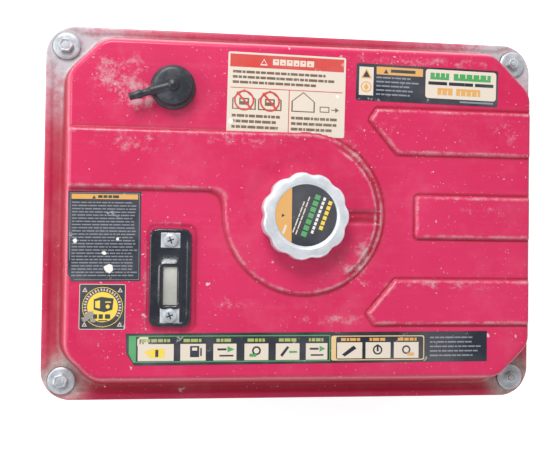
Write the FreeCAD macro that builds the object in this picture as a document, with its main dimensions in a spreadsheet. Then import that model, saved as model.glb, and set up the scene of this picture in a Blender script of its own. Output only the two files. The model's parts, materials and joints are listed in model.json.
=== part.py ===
import FreeCAD, Part
import Sketcher
import math
import os
import re
from FreeCAD import Placement, Rotation, Vector

# Portable open-frame generator, millimetres. Floor is z = 0, the control panel faces -Y,
# the recoil starter is at the +X end. flangeHeight is the top face of the tank's rim.
values = {
    # tube frame
    "tubeRadius": 12.7, "tubeWall": 1.6, "bendRadius": 50, "hoopX": 240, "hoopDepth": 178,
    "hoopBottom": 40, "railZ": 312, "bedWidth": 30, "bedTall": 18, "bedHalf": 65,
    "bracketWide": 30, "bracketTall": 5, "saddle": 2, "footTall": 32, "footWide": 36,
    "mountRadius": 15, "mountTall": 18, "enginePuckX": 70, "generatorPuckX": -150,
    # fuel tank
    "flangeHeight": 395, "sheetWall": 1.5, "flangeX": 260, "flangeY": 192, "rimCorner": 29,
    "boltX": 240, "boltY": 172, "boltClear": 19, "shellX": 246.5, "shellY": 179.5, "shiftX": 4,
    "shiftY": 3.4, "shellTall": 45, "wallRun": 13, "shoulderRound": 6, "cornerRound": 16,
    "reliefTall": 4, "panX": 214, "panY": 156, "panTall": 57, "panRun": 14, "panCorner": 30,
    "isolatorTall": 12, "isolatorRadius": 13, "boltRadius": 4, "headFlats": 13, "headTall": 5.5,
    "washerRadius": 15, "washerTall": 1.6,
    # raised relief of the tank top
    "discX": 3.5, "discY": 1.5, "discRadius": 80, "dishRadius": 70, "bandLow": 24, "bandHigh": 82,
    "padHalf": 22, "padNear": 72, "padRight": 232, "padRow": 88, "padSlant": 27, "padMidX": 119,
    # filler neck and cap
    "capX": 1.5, "capY": -1.5, "neckRadius": 30, "neckWall": 2, "neckTall": 20, "capSkirt": 14,
    "capTall": 22, "capWall": 2, "lobes": 10, "lobeRadius": 9, "capGap": 0.5,
    # vent valve
    "ventX": -130, "ventY": 124.5, "ventRadius": 22, "ventTall": 15, "nippleRadius": 3.5,
    "nippleLong": 44, "nippleRoot": 24, "nippleTurn": 197,
    # fuel gauge
    "gaugeX": -130, "gaugeY": -64, "gaugeWide": 41, "gaugeLong": 97, "gaugeTall": 3,
    "windowWide": 14, "windowLong": 38, "gaugeScrewY": 37, "floatArm": 110, "floatRadius": 16,
    "floatLong": 38, "wireRadius": 1.6, "floatDrop": 25,
    # engine
    "crankY": -20, "crankRise": 106, "shaftRadius": 12.5, "running": 0.05, "engineX": 70,
    "caseHalf": 45, "caseWide": 67, "caseTop": 62, "caseWall": 8, "tilt": 25, "boreRadius": 34,
    "barrelRadius": 44, "barrelEnd": 110, "finHalf": 50, "finTall": 2, "finStep": 7, "fins": 6,
    "headTop": 145, "coverTall": 17, "throw": 27, "flywheelRadius": 70, "flywheelX": 132,
    "shroudRadius": 98, "shroudX": 128, "shroudEnd": 188, "starterRadius": 76, "starterEnd": 222,
    "ropeRadius": 55, "ropeThick": 2.2, "ropeX": 205, "gripLong": 84, "gripRadius": 12,
    # fuel system and air cleaner
    "valveX": 165, "valveY": -130, "valveZ": 308, "hoseRadius": 4.5, "hoseBend": 42,
    "carbY": 8, "carbZ": 302, "carbRadius": 14, "carbLong": 44, "airLeft": 28, "airRight": 124,
    "airFront": -142, "airBack": -22, "airLow": 264, "airHigh": 328, "airWall": 2,
    # exhaust
    "mufflerLeft": -148, "mufflerRight": 4, "mufflerFront": 78, "mufflerBack": 156,
    "mufflerLow": 216, "mufflerHigh": 298, "guardGap": 4, "guardWall": 1.2, "tailRadius": 11,
    # alternator
    "frameRadius": 84, "frameWall": 12, "statorRing": 20, "airGap": 1.5, "statorLeft": -132,
    "statorRight": -42, "housingLeft": -165, "housingRight": -8, "bellLeft": -192,
    # control panel
    "boxLeft": -224, "boxRight": 8, "boxBack": -110, "boxFront": -175, "boxLow": 100,
    "boxHigh": 296, "boxWall": 2, "faceThick": 3, "outletWide": 36, "outletTall": 70,
    "duplexX": -178, "duplexStep": 56, "twistX": -58, "twistRadius": 25, "switchX": -18, "switchPin": 1.5,
    "breakerX": -90, "breakerStep": 28, "breakerRadius": 8, "panelRow": 215, "lowRow": 140,
}

doc = FreeCAD.newDocument("generator")
sheet = doc.addObject("Spreadsheet::Sheet", "sizes")
for row, (word, number) in enumerate(values.items(), start=1):
    sheet.set(f"A{row}", word)
    sheet.set(f"B{row}", str(number))
    sheet.setAlias(f"B{row}", word)
doc.recompute()

aims = {
    "Z": Rotation(), "-Z": Rotation(Vector(1, 0, 0), 180),
    "X": Rotation(Vector(0, 1, 0), 90), "-X": Rotation(Vector(0, 1, 0), -90),
    "Y": Rotation(Vector(1, 0, 0), -90), "-Y": Rotation(Vector(1, 0, 0), 90),
}
nodes = {}
count = 0

# heights that several pieces share
deck = "flangeHeight"
underside = "(flangeHeight - 2*sheetWall)"
bracketTop = "(flangeHeight - 2*sheetWall - isolatorTall)"
hoopTop = "(flangeHeight - 2*sheetWall - isolatorTall - bracketTall + saddle - tubeRadius)"
shellTop = "(flangeHeight + shellTall)"
reliefTop = "(flangeHeight + shellTall + reliefTall)"
bedTop = "(hoopBottom + tubeRadius - 5.7 + bedTall)"
caseLow = "(hoopBottom + tubeRadius - 5.7 + bedTall + mountTall)"
crankZ = "(hoopBottom + tubeRadius - 5.7 + bedTall + mountTall + crankRise)"
faceFront = "(boxFront - faceThick)"


def full(text):
    # spells a size's word as a reference to its cell
    return re.sub(r"\b([a-z]\w*)\b", lambda m: "sizes." + m[1] if m[1] in values else m[1], str(text))


def number(text):
    return float(sheet.evalExpression(full(text)))


def new(kind, name):
    global count
    count += 1
    return doc.addObject(kind, f"{name}{count}")


def put(item, at=("0", "0", "0"), aim="Z"):
    rotation = aims[aim] if isinstance(aim, str) else aim
    item.Placement = Placement(Vector(*[number(a) for a in at]), rotation)
    for letter, text in zip("xyz", at):
        item.setExpression(f".Placement.Base.{letter}", full(text))
    return item


def block(x, y, z):
    # a box from three pairs of low and high
    box = new("Part::Box", "block")
    for side, (low, high) in zip(("Length", "Width", "Height"), (x, y, z)):
        box.setExpression(side, full(f"({high}) - ({low})"))
    return put(box, (x[0], y[0], z[0]))


def rod(radius, length, at, aim="Z"):
    bar = new("Part::Cylinder", "rod")
    bar.setExpression("Radius", full(radius))
    bar.setExpression("Height", full(length))
    return put(bar, at, aim)


def cone(first, second, length, at, aim="Z"):
    taper = new("Part::Cone", "cone")
    taper.setExpression("Radius1", full(first))
    taper.setExpression("Radius2", full(second))
    taper.setExpression("Height", full(length))
    return put(taper, at, aim)


def elbow(bend, radius, at, aim):
    ring = new("Part::Torus", "elbow")
    ring.setExpression("Radius1", full(bend))
    ring.setExpression("Radius2", full(radius))
    ring.Angle3 = 90
    return put(ring, at, aim)


def hexagon(flats, length, at, aim="Z"):
    prism = new("Part::Prism", "hexagon")
    prism.Polygon = 6
    prism.setExpression("Circumradius", full(f"({flats})/sqrt(3)"))
    prism.setExpression("Height", full(length))
    return put(prism, at, aim)


def fuse(*pieces):
    if len(pieces) == 1:
        return pieces[0]
    union = new("Part::MultiFuse", "fuse")
    union.Shapes = list(pieces)
    return union


def cut(base, *tools):
    less = new("Part::Cut", "cut")
    less.Base = base
    less.Tool = tools[0] if len(tools) == 1 else fuse(*tools)
    return less


def common(first, second):
    both = new("Part::MultiCommon", "common")
    both.Shapes = [first, second]
    return both


def group(*pieces):
    bundle = new("Part::Compound", "group")
    bundle.Links = list(pieces)
    return bundle


def sketch(body, points, role):
    drawn = body.newObject("Sketcher::SketchObject", "outline")
    plane = [f for f in body.Origin.OriginFeatures if f.Role == role][0]
    drawn.AttachmentSupport = (plane, [""])
    drawn.MapMode = "FlatFace"
    spots = [Vector(number(x), number(y), 0) for x, y in points]
    total = len(spots)
    for i in range(total):
        drawn.addGeometry(Part.LineSegment(spots[i], spots[(i + 1) % total]), False)
    for i in range(total):
        drawn.addConstraint(Sketcher.Constraint("Coincident", i, 2, (i + 1) % total, 1))
    for i, pair in enumerate(points):
        for kind, place, text in zip(("DistanceX", "DistanceY"), spots[i], pair):
            k = drawn.addConstraint(Sketcher.Constraint(kind, -1, 1, i, 1, place))
            drawn.setExpression(f"Constraints[{k}]", full(text))
    return drawn


def turned(profile, at=("0", "0", "0"), aim="Z"):
    # a lathe piece: profile is (radius, height) pairs, turned about its own Z
    body = new("PartDesign::Body", "turned")
    drawn = sketch(body, profile, "XZ_Plane")
    spin = body.newObject("PartDesign::Revolution", "spin")
    spin.Profile = drawn
    spin.ReferenceAxis = (drawn, ["V_Axis"])
    spin.Angle = 360
    return put(body, at, aim)


def rounded(body, base, radius, test):
    edges = [f"Edge{i + 1}" for i, edge in enumerate(base.Shape.Edges) if test(edge)]
    fillet = body.newObject("PartDesign::Fillet", "round")
    fillet.Base = (base, edges)
    fillet.setExpression("Radius", full(radius))
    return fillet


def slab(points, length, at=("0", "0", "0"), aim="Z", taper=None, side=None, top=None):
    # a sketch padded along its own Z, with its upright and top edges rounded where asked
    body = new("PartDesign::Body", "slab")
    pad = body.newObject("PartDesign::Pad", "pad")
    pad.Profile = sketch(body, points, "XY_Plane")
    pad.setExpression("Length", full(length))
    if taper:
        pad.setExpression("TaperAngle", full(taper))
    last = pad
    if side:
        doc.recompute()
        last = rounded(body, last, side, lambda e: e.BoundBox.ZLength > 0.5 * number(length))
    if top:
        doc.recompute()
        height = max(v.Z for v in last.Shape.Vertexes)
        last = rounded(body, last, top, lambda e: min(v.Z for v in e.Vertexes) > height - 0.01)
    return put(body, at, aim)


def corners(x, y):
    return [(x[0], y[0]), (x[1], y[0]), (x[1], y[1]), (x[0], y[1])]


def softBlock(x, y, z, side, top=None):
    return slab(corners(x, y), f"({z[1]}) - ({z[0]})", ("0", "0", z[0]), side=side, top=top)


def cutCorners(inset):
    # the tank's plan: a rectangle whose corners are cut back from the four bolts
    right = f"(shiftX + shellX - {inset})"
    left = f"(shiftX - shellX + {inset})"
    back = f"(shiftY + shellY - {inset})"
    front = f"(shiftY - shellY + {inset})"
    reach = f"(boltX + boltY - sqrt(2)*(boltClear + {inset}))"
    return [
        (right, f"{reach} - {right}"), (f"{reach} - {back}", back), (f"{back} - {reach}", back),
        (left, f"{reach} + {left}"), (left, f"-{reach} - {left}"), (f"-{reach} - {front}", front),
        (f"{reach} + {front}", front), (right, f"{right} - {reach}"),
    ]


def piped(points, bends, radius):
    # a round tube along straight runs joined by tangent arcs
    spots = [Vector(*p) for p in points]
    edges, start = [], spots[0]
    for i in range(1, len(spots) - 1):
        into = (spots[i] - spots[i - 1]).normalize()
        out = (spots[i + 1] - spots[i]).normalize()
        half = into.getAngle(out) / 2
        reach = bends[i - 1] * math.tan(half)
        first, last = spots[i] - into * reach, spots[i] + out * reach
        middle = spots[i] + (out - into).normalize() * bends[i - 1] * (1 / math.cos(half) - 1)
        edges += [Part.LineSegment(start, first).toShape(), Part.Arc(first, middle, last).toShape()]
        start = last
    edges.append(Part.LineSegment(start, spots[-1]).toShape())
    ring = Part.Wire(Part.makeCircle(radius, spots[0], spots[1] - spots[0]))
    return Part.Wire(edges).makePipeShell([ring], True, True)


def feature(shape):
    item = new("Part::Feature", "bent")
    item.Shape = shape
    return item


def keep(name, item):
    item.Label = name
    nodes[name] = item
    return item


# ---- tube frame ----
def loop(x, radius):
    # one end hoop: a closed rounded rectangle of tube that stands in the YZ plane
    flat, low, high = "(hoopDepth - bendRadius)", "(hoopBottom + bendRadius)", f"({hoopTop} - bendRadius)"
    runs = []
    for z in ("hoopBottom", hoopTop):
        runs.append(rod(radius, f"2*{flat}", (x, f"-{flat}", z), "Y"))
    for y in ("-hoopDepth", "hoopDepth"):
        runs.append(rod(radius, f"{high} - {low}", (x, y, low)))
    for turn, (y, z) in enumerate(((flat, high), (f"-{flat}", high), (f"-{flat}", low), (flat, low))):
        # a quarter ring laid into the YZ plane, then turned to its own corner
        aim = Rotation(Vector(1, 0, 0), 90 * turn) * Rotation(Vector(1, 1, 1), 120)
        runs.append(elbow("bendRadius", radius, (x, y, z), aim))
    return fuse(*runs)


hoopSolids = {side: loop(f"{side}hoopX", "tubeRadius") for side in ("-", "")}
bothHoops = fuse(*hoopSolids.values())


def crossTube(y):
    outer = rod("tubeRadius", "2*hoopX", ("-hoopX", y, "railZ"), "X")
    inner = rod("tubeRadius - tubeWall", "2*hoopX", ("-hoopX", y, "railZ"), "X")
    return cut(cut(outer, inner), bothHoops)


keep("top_rails", group(crossTube("-hoopDepth"), crossTube("hoopDepth")))
beds = []
for side in "-+":
    y = f"(crankY {side} bedHalf)"
    low = "(hoopBottom + tubeRadius - 5.7)"
    bar = block(("-hoopX", "hoopX"), (f"{y} - bedWidth/2", f"{y} + bedWidth/2"), (low, bedTop))
    beds.append(cut(bar, bothHoops))
keep("bed_rails", group(*beds))

feet = []
for sx, name in (("-", "left_hoop"), ("", "right_hoop")):
    tabs = []
    for sy in ("-", ""):
        spots = (f"{sy}(boltY - 50)", f"{sy}boltY")
        ends = spots if sy == "" else spots[::-1]
        wide = (f"{sx}hoopX - bracketWide/2", f"{sx}hoopX + bracketWide/2")
        plate = block(wide, ends, (f"{bracketTop} - bracketTall", bracketTop))
        under = (f"{sx}boltX", f"{sy}boltY", f"{bracketTop} - bracketTall")
        nose, hole = rod("bracketWide/2", "bracketTall", under), rod("boltRadius + 0.3", "bracketTall", under)
        tabs.append(cut(fuse(plate, nose), bothHoops, hole))
        middle = f"{sy}(hoopDepth - bendRadius - 18)"
        pad = softBlock((f"{sx}hoopX - footWide/2", f"{sx}hoopX + footWide/2"),
                        (f"{middle} - 20", f"{middle} + 20"), ("0", "footTall"), "6")
        feet.append(cut(pad, bothHoops))
    bare = cut(hoopSolids[sx], loop(f"{sx}hoopX", "tubeRadius - tubeWall"))
    keep(name, fuse(bare, *tabs))
keep("rubber_feet", group(*feet))

pucks = []
for x in ("enginePuckX", "generatorPuckX"):
    for side in "-+":
        pucks.append(rod("mountRadius", "mountTall", (x, f"crankY {side} bedHalf", bedTop)))
keep("engine_mounts", group(*pucks))


# ---- fuel tank ----
def boltSpots():
    return [(f"{a}boltX", f"{b}boltY") for a in ("-", "") for b in ("-", "")]


def rim(z):
    plan = corners(("-flangeX", "flangeX"), ("-flangeY", "flangeY"))
    plate = slab(plan, "sheetWall", ("0", "0", z), side="rimCorner")
    return [plate] + [rod("boltRadius + 0.3", "sheetWall", (x, y, z)) for x, y in boltSpots()]


wallTilt = "-atan(wallRun/shellTall)"
outer = slab(cutCorners("0"), "shellTall", ("0", "0", deck), taper=wallTilt, side="cornerRound",
             top="shoulderRound")
inner = slab(cutCorners("sheetWall"), "shellTall", ("0", "0", "flangeHeight - sheetWall"), taper=wallTilt,
             side="cornerRound - sheetWall", top="shoulderRound")
rimPlate, *rimHoles = rim("flangeHeight - sheetWall")

disc = turned([("0", "0"), ("discRadius", "0"), ("discRadius - 3", "reliefTall"),
               ("dishRadius", "reliefTall"), ("dishRadius - 4", "1.5"), ("0", "1.5")],
              ("discX", "discY", shellTop))
left = "(shiftX - shellX + wallRun + 3)"
band = slab([(left, "bandLow"), ("discX - 100", "bandLow"), ("discX - 76", "8"), ("discX", "0"),
             ("discX", "bandHigh"), (left, "bandHigh")], "reliefTall", ("0", "0", shellTop), top="2")
dish = rod("dishRadius - 2", "10", ("discX", "discY", f"{shellTop} + 1.5"))
pads = []
for turn in ("", "-"):
    row = f"{turn}padRow"
    spots = [("padNear + 4", f"{row} + {turn}padHalf"), ("padNear", f"{row} + {turn}(padHalf/2)"),
             ("padNear + padSlant", f"{row} - {turn}padHalf"), ("padRight", f"{row} - {turn}padHalf"),
             ("padRight", f"{row} + {turn}padHalf")]
    pads.append(slab(spots, "reliefTall", ("0", "0", shellTop), top="2"))
pads.append(slab(corners(("padMidX", "padRight"), ("-padHalf + 0.5", "padHalf - 0.5")), "reliefTall",
                 ("0", "0", shellTop), side="4", top="2"))
neckHole = rod("neckRadius", "40", ("capX", "capY", f"{shellTop} - 20"))
gaugeHole = block(("gaugeX - windowWide/2 - 3", "gaugeX + windowWide/2 + 3"),
                  ("gaugeY - windowLong/2 - 11", "gaugeY + windowLong/2 - 5"), (f"{shellTop} - 10", f"{shellTop} + 5"))
ventHole = rod("5", "20", ("ventX", "ventY", f"{shellTop} - 10"))
top = cut(fuse(outer, rimPlate, cut(band, dish), *pads, disc), inner, neckHole, gaugeHole, ventHole, *rimHoles)
keep("tank_upper_shell", top)

panSpots = corners(("-panX", "panX"), ("-panY", "panY"))
panInner = corners(("-panX + sheetWall", "panX - sheetWall"), ("-panY + sheetWall", "panY - sheetWall"))
panTilt = "-atan(panRun/panTall)"
lowRim, *lowHoles = rim(underside)
panSolid = slab(panSpots, "panTall", ("0", "0", underside), "-Z", panTilt, "panCorner", "10")
panHollow = slab(panInner, "panTall", ("0", "0", f"{underside} + sheetWall"), "-Z", panTilt,
                 "panCorner - sheetWall", "9")
drain = rod("6", "20", ("valveX", "valveY", f"{underside} - panTall - 5"))
keep("tank_lower_pan", cut(fuse(panSolid, lowRim), panHollow, drain, *lowHoles))

bolts, washers, isolators = [], [], []
for x, y in boltSpots():
    head = hexagon("headFlats", "headTall", (x, y, "flangeHeight + washerTall"))
    long = "(2*sheetWall + isolatorTall + bracketTall + washerTall + 12)"
    shank = rod("boltRadius", long, (x, y, f"flangeHeight + washerTall - {long}"))
    nut = hexagon("headFlats", "6.5", (x, y, f"{bracketTop} - bracketTall - 6.5"))
    bolts.append(fuse(head, shank, nut))
    ring = rod("washerRadius", "washerTall", (x, y, deck))
    washers.append(cut(ring, rod("boltRadius", "washerTall", (x, y, deck))))
    sleeve = rod("isolatorRadius", "isolatorTall", (x, y, bracketTop))
    isolators.append(cut(sleeve, rod("boltRadius", "isolatorTall", (x, y, bracketTop))))
keep("tank_bolts", group(*bolts))
keep("tank_washers", group(*washers))
keep("tank_isolators", group(*isolators))

# filler neck: its lower flange sits on the tank top, its lip is inside the cap
neckLow = f"({shellTop} - sheetWall - 6)"
keep("filler_neck", turned([("neckRadius - neckWall", "0"), ("neckRadius", "0"), ("neckRadius", "sheetWall + 9"),
                            ("neckRadius + 4", "sheetWall + 9"), ("neckRadius + 4", "sheetWall + 11"),
                            ("neckRadius", "sheetWall + 11"), ("neckRadius", "sheetWall + 6 + neckTall"),
                            ("neckRadius - neckWall", "sheetWall + 6 + neckTall")], ("capX", "capY", neckLow)))
neckTop = f"({shellTop} + neckTall)"
keep("cap_seal", turned([("0", "0.3"), ("neckRadius", "0.3"), ("neckRadius", "3"), ("0", "3")],
                        ("capX", "capY", neckTop)))
capLow = f"({neckTop} + 3.3 + capWall - capTall)"
capRadius = "(neckRadius + capSkirt)"
lobeTools = []
for i in range(values["lobes"]):
    turn = f"{i}*360/lobes + 18"
    reach = f"({capRadius} + lobeRadius - 2.6)"
    lobeTools.append(rod("lobeRadius", "capTall", (f"capX + {reach}*cos({turn})", f"capY + {reach}*sin({turn})",
                                                   f"{capLow} - 4")))
capShape = turned([("neckRadius + 6", "0"), (capRadius, "0"), (capRadius, "capTall - 7"),
                   (f"{capRadius} - 6", "capTall - 1"), ("neckRadius", "capTall"), ("0", "capTall"),
                   ("0", "capTall - capWall"), ("neckRadius + 6", "capTall - capWall")],
                  ("capX", "capY", capLow))
keep("fuel_cap", cut(capShape, *lobeTools))

# vent valve with its hose nipple
ventTop = f"({shellTop} + ventTall)"
base = turned([("0", "0"), ("ventRadius", "0"), ("ventRadius", "4"), ("ventRadius - 3", "7"),
               ("ventRadius - 3", "ventTall"), ("0", "ventTall + 1")], ("ventX", "ventY", shellTop))
nippleAim = Rotation(Vector(0, 0, 1), values["nippleTurn"]) * aims["X"]
nippleAt = ("ventX", "ventY", f"{ventTop} - 6")
collar = rod("nippleRadius + 1.5", "nippleRoot", nippleAt, nippleAim)
stem = rod("nippleRadius", "nippleLong", nippleAt, nippleAim)
keep("vent_valve", fuse(base, stem, collar, rod("5", "14", ("ventX", "ventY", f"{shellTop} - 8"))))

# fuel gauge with a float arm that swings below it and drives the pointer
gx, gy = ("gaugeX - gaugeWide/2", "gaugeX + gaugeWide/2"), ("gaugeY - gaugeLong/2", "gaugeY + gaugeLong/2")
windowY = ("gaugeY - windowLong/2 - 8", "gaugeY + windowLong/2 - 8")
windowX = ("gaugeX - windowWide/2", "gaugeX + windowWide/2")
bezel = softBlock(gx, gy, (shellTop, f"{shellTop} + gaugeTall"), "5", "0.8")
opening = block(windowX, windowY, (shellTop, f"{shellTop} + 5"))
shaftZ = f"({shellTop} - 12)"
ears = [block((f"gaugeX {s} (windowWide/2 + 1.5) - 1", f"gaugeX {s} (windowWide/2 + 1.5) + 1"),
              ("gaugeY - 27", "gaugeY - 13"), (f"{shaftZ} - 4", shellTop)) for s in "-+"]
pivotHoles = rod("wireRadius + running", "40", ("gaugeX - 20", "gaugeY - 20", shaftZ), "X")
keep("gauge_bezel", cut(fuse(bezel, *ears), opening, pivotHoles))
keep("gauge_window", block((f"{windowX[0]} + 0.3", f"{windowX[1]} - 0.3"), (f"{windowY[0]} + 0.3", f"{windowY[1]} - 0.3"),
                           (f"{shellTop} + 0.5", f"{shellTop} + 2")))
screws = []
for s in "-+":
    y = f"(gaugeY {s} gaugeScrewY)"
    plate = block(("gaugeX - 9", "gaugeX + 9"), (f"{y} - 6.5", f"{y} + 6.5"),
                  (f"{shellTop} + gaugeTall", f"{shellTop} + gaugeTall + 1"))
    head = cone("6.5", "4.5", "3", ("gaugeX", y, f"{shellTop} + gaugeTall + 1"))
    cross = block(("gaugeX - 3", "gaugeX + 3"), (f"{y} - 0.7", f"{y} + 0.7"),
                  (f"{shellTop} + gaugeTall + 2.6", f"{shellTop} + gaugeTall + 5"))
    screws.append(cut(fuse(plate, head), cross))
keep("gauge_screws", group(*screws))
axle = rod("wireRadius", "24", ("gaugeX - 12", "gaugeY - 20", shaftZ), "X")
armAim = Rotation(Vector(1, 0, 0), -90 - values["floatDrop"])
arm = rod("wireRadius", "floatArm", ("gaugeX", "gaugeY - 20", shaftZ), armAim)
floatAt = ("gaugeX - floatLong/2", "gaugeY - 20 + floatArm*cos(floatDrop)", f"{shaftZ} - floatArm*sin(floatDrop)")
keep("gauge_float", fuse(axle, arm, rod("floatRadius", "floatLong", floatAt, "X")))
keep("gauge_pointer", fuse(rod("2.2", "5", ("gaugeX", "gaugeY - 8", f"{shellTop} - 5")),
                           block(("gaugeX - 0.8", "gaugeX + 0.8"), ("gaugeY - 10", "gaugeY + 5"),
                                 (f"{shellTop} - 0.6", f"{shellTop} + 0.2"))))

# ---- engine ----
deckAim = Rotation(Vector(1, 0, 0), values["tilt"] - 90)


def onBarrel(distance, across="0"):
    # a point along the tilted cylinder's axis, and above it
    y = f"crankY + ({distance})*cos(tilt) - ({across})*sin(tilt)"
    z = f"{crankZ} + ({distance})*sin(tilt) + ({across})*cos(tilt)"
    return y, z


def barrelBlock(half, start, end, side=None):
    plan = corners((f"-({half})", half), (f"-({half})", half))
    y, z = onBarrel(start)
    return slab(plan, f"({end}) - ({start})", ("engineX", y, z), deckAim, side=side)


hull = slab(corners(("-caseTop", "crankRise - 6"), ("-caseWide", "caseWide")), "2*caseHalf",
            ("engineX - caseHalf", "crankY", crankZ), "X", side="18")
plinth = softBlock(("engineX - caseHalf - 6", "engineX + caseHalf + 6"), ("crankY - bedHalf - 20", "crankY + bedHalf + 20"),
                   (caseLow, f"{caseLow} + 8"), "12")
room = block(("engineX - caseHalf + caseWall", "engineX + caseHalf - caseWall"),
             ("crankY - caseWide + caseWall", "crankY + caseWide - caseWall"),
             (f"{caseLow} + 12", f"{crankZ} + caseTop - caseWall"))
y, z = onBarrel("30")
barrel = rod("barrelRadius", "barrelEnd - 30", ("engineX", y, z), deckAim)
finList = [barrelBlock("finHalf", f"barrelEnd - {i}*finStep - finTall", f"barrelEnd - {i}*finStep", "10")
           for i in range(values["fins"])]
bore = rod("boreRadius", "barrelEnd - 30", ("engineX", y, z), deckAim)
shaftHole = rod("shaftRadius + running", "2*caseHalf + 2", ("engineX - caseHalf - 1", "crankY", crankZ), "X")
oilNeck = rod("13", "20", ("engineX + 22", "crankY - caseWide + 4", f"{caseLow} + 35"), "-Y")
keep("crankcase", cut(fuse(hull, plinth, barrel, oilNeck, *finList), room, bore, shaftHole,
                      rod("9", "40", ("engineX + 22", "crankY - caseWide + 20", f"{caseLow} + 35"), "-Y")))
keep("oil_dipstick", fuse(rod("12", "8", ("engineX + 22", "crankY - caseWide - 16.2", f"{caseLow} + 35"), "-Y"),
                          rod("8.6", "14", ("engineX + 22", "crankY - caseWide - 2.2", f"{caseLow} + 35"), "-Y"),
                          block(("engineX + 14", "engineX + 30"), ("crankY - caseWide - 32", "crankY - caseWide - 24.2"),
                                (f"{caseLow} + 33", f"{caseLow} + 37"))))
headFins = [barrelBlock("finHalf", f"barrelEnd + 8 + {i}*finStep", f"barrelEnd + 8 + {i}*finStep + finTall", "10")
            for i in range(4)]
headCore = barrelBlock("finHalf - 9", "barrelEnd", "headTop", "10")
plugY, plugZ = onBarrel("barrelEnd + 20", "12")
plugHole = rod("7", "40", ("engineX + 25", plugY, plugZ), "X")
portY, portZ = onBarrel("barrelEnd + 18")
portBoss = rod("17", "12", ("engineX - finHalf", portY, portZ), "X")
topY, topZ = onBarrel("barrelEnd + 18", "finHalf - 15")
topBoss = rod("16", "21", ("engineX", topY, topZ), Rotation(Vector(1, 0, 0), values["tilt"]))
keep("cylinder_head", cut(fuse(headCore, portBoss, topBoss, *headFins), plugHole))
keep("valve_cover", barrelBlock("finHalf - 12", "headTop", "headTop + coverTall", "12"))
plugX = "(engineX + 25)"
keep("spark_plug", fuse(rod("7", "finHalf - 25", (plugX, plugY, plugZ), "X"),
                        hexagon("20", "9", ("engineX + finHalf", plugY, plugZ), "X"),
                        rod("5", "16", ("engineX + finHalf + 9", plugY, plugZ), "X"),
                        rod("8.5", "20", ("engineX + finHalf + 20", plugY, plugZ), "X")))
y, z = onBarrel("70")
crown = rod("boreRadius - 0.1", "34", ("engineX", y, z), deckAim)
keep("piston", crown)

# crankshaft: main journals, two webs and the pin between them
web = []
for x in ("engineX - 24", "engineX + 12"):
    web.append(rod("throw + 18", "12", (x, "crankY", crankZ), "X"))
pin = rod("14", "24", ("engineX - 12", "crankY", f"{crankZ} + throw"), "X")
shaft = rod("shaftRadius", "flywheelX + 30 - housingRight - 8", ("housingRight + 8", "crankY", crankZ), "X")
middle = block(("engineX - 12", "engineX + 12"), ("crankY - 20", "crankY + 20"), (f"{crankZ} - 20", f"{crankZ} + 12.4"))
keep("crankshaft", fuse(cut(shaft, middle), pin, *web))
fins = []
for i in range(12):
    spot = Rotation(Vector(1, 0, 0), 30 * i)
    blade = new("Part::Box", "blade")
    blade.setExpression("Length", full("14"))
    blade.Width = 3
    blade.setExpression("Height", full("flywheelRadius - 42"))
    lift = spot.multVec(Vector(0, 0, 40))
    put(blade, ("flywheelX + 19.9", f"crankY + {lift.y:.4f}", f"{crankZ} + {lift.z:.4f}"), spot)
    fins.append(blade)
keep("flywheel", fuse(turned([("shaftRadius", "0"), ("flywheelRadius", "0"), ("flywheelRadius", "20"),
                              ("36", "20"), ("36", "46"), ("33", "46"), ("33", "22"), ("shaftRadius", "22")],
                             ("flywheelX", "crankY", crankZ), "X"), *fins))
shroud = turned([("shroudRadius", "0"), ("shroudRadius", "shroudEnd - shroudX"), ("56", "shroudEnd - shroudX"),
                 ("56", "shroudEnd - shroudX - 1.5"), ("shroudRadius - 1.5", "shroudEnd - shroudX - 1.5"),
                 ("shroudRadius - 1.5", "0")], ("shroudX", "crankY", crankZ), "X")
ears = [block(("engineX + caseHalf", "shroudX + 8"), ("crankY - 74", "crankY - 56"),
              (f"{crankZ} + 44", f"{crankZ} + caseTop"))]
ears.append(block(("engineX + caseHalf", "shroudX + 8"), ("crankY - 18", "crankY + 18"),
                  (f"{crankZ} - shroudRadius + 1", f"{crankZ} - shroudRadius + 12")))
inRing = [common(ear, rod("shroudRadius - 1", "80", ("engineX", "crankY", crankZ), "X")) for ear in ears]
keep("blower_housing", cut(fuse(shroud, *inRing), nodes["crankcase"]))
keep("ignition_coil", block(("flywheelX + 4", "flywheelX + 18"), ("crankY - 9", "crankY + 9"),
                            (f"{crankZ} + flywheelRadius + 0.6", f"{crankZ} + shroudRadius - 2.1")))
vents = [block(("starterEnd - 6", "starterEnd + 4"), ("crankY - 2.5", "crankY + 2.5"), (f"{crankZ} + 22", f"{crankZ} + 50"))]
dome = turned([("0", "starterEnd - shroudEnd"), ("starterRadius - 14", "starterEnd - shroudEnd"),
               ("starterRadius", "starterEnd - shroudEnd - 12"), ("starterRadius", "0"),
               ("starterRadius - 2", "0"), ("starterRadius - 2", "starterEnd - shroudEnd - 12.5"),
               ("starterRadius - 15", "starterEnd - shroudEnd - 2"), ("0", "starterEnd - shroudEnd - 2")],
              ("shroudEnd", "crankY", crankZ), "X")
ropeZ = f"({crankZ} + ropeRadius)"
ropeWay = rod("ropeThick + 1", "120", ("ropeX", "crankY", ropeZ), "-Y")
slots = []
for i in range(10):
    spot = Rotation(Vector(1, 0, 0), 36 * i)
    slit = new("Part::Box", "slit")
    slit.Length = 12
    slit.Width = 6
    slit.Height = 26
    lift = spot.multVec(Vector(0, -3, 26))
    put(slit, ("starterEnd - 6", f"crankY + {lift.y:.4f}", f"{crankZ} + {lift.z:.4f}"), spot)
    slots.append(slit)
post = rod("6", "starterEnd - 2 - ropeX + 10", ("ropeX - 10", "crankY", crankZ), "X")
guide = rod("7", "31", ("ropeX", "crankY - 46", ropeZ), "-Y")
keep("recoil_housing", cut(fuse(dome, post, guide), ropeWay, *slots))
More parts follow.
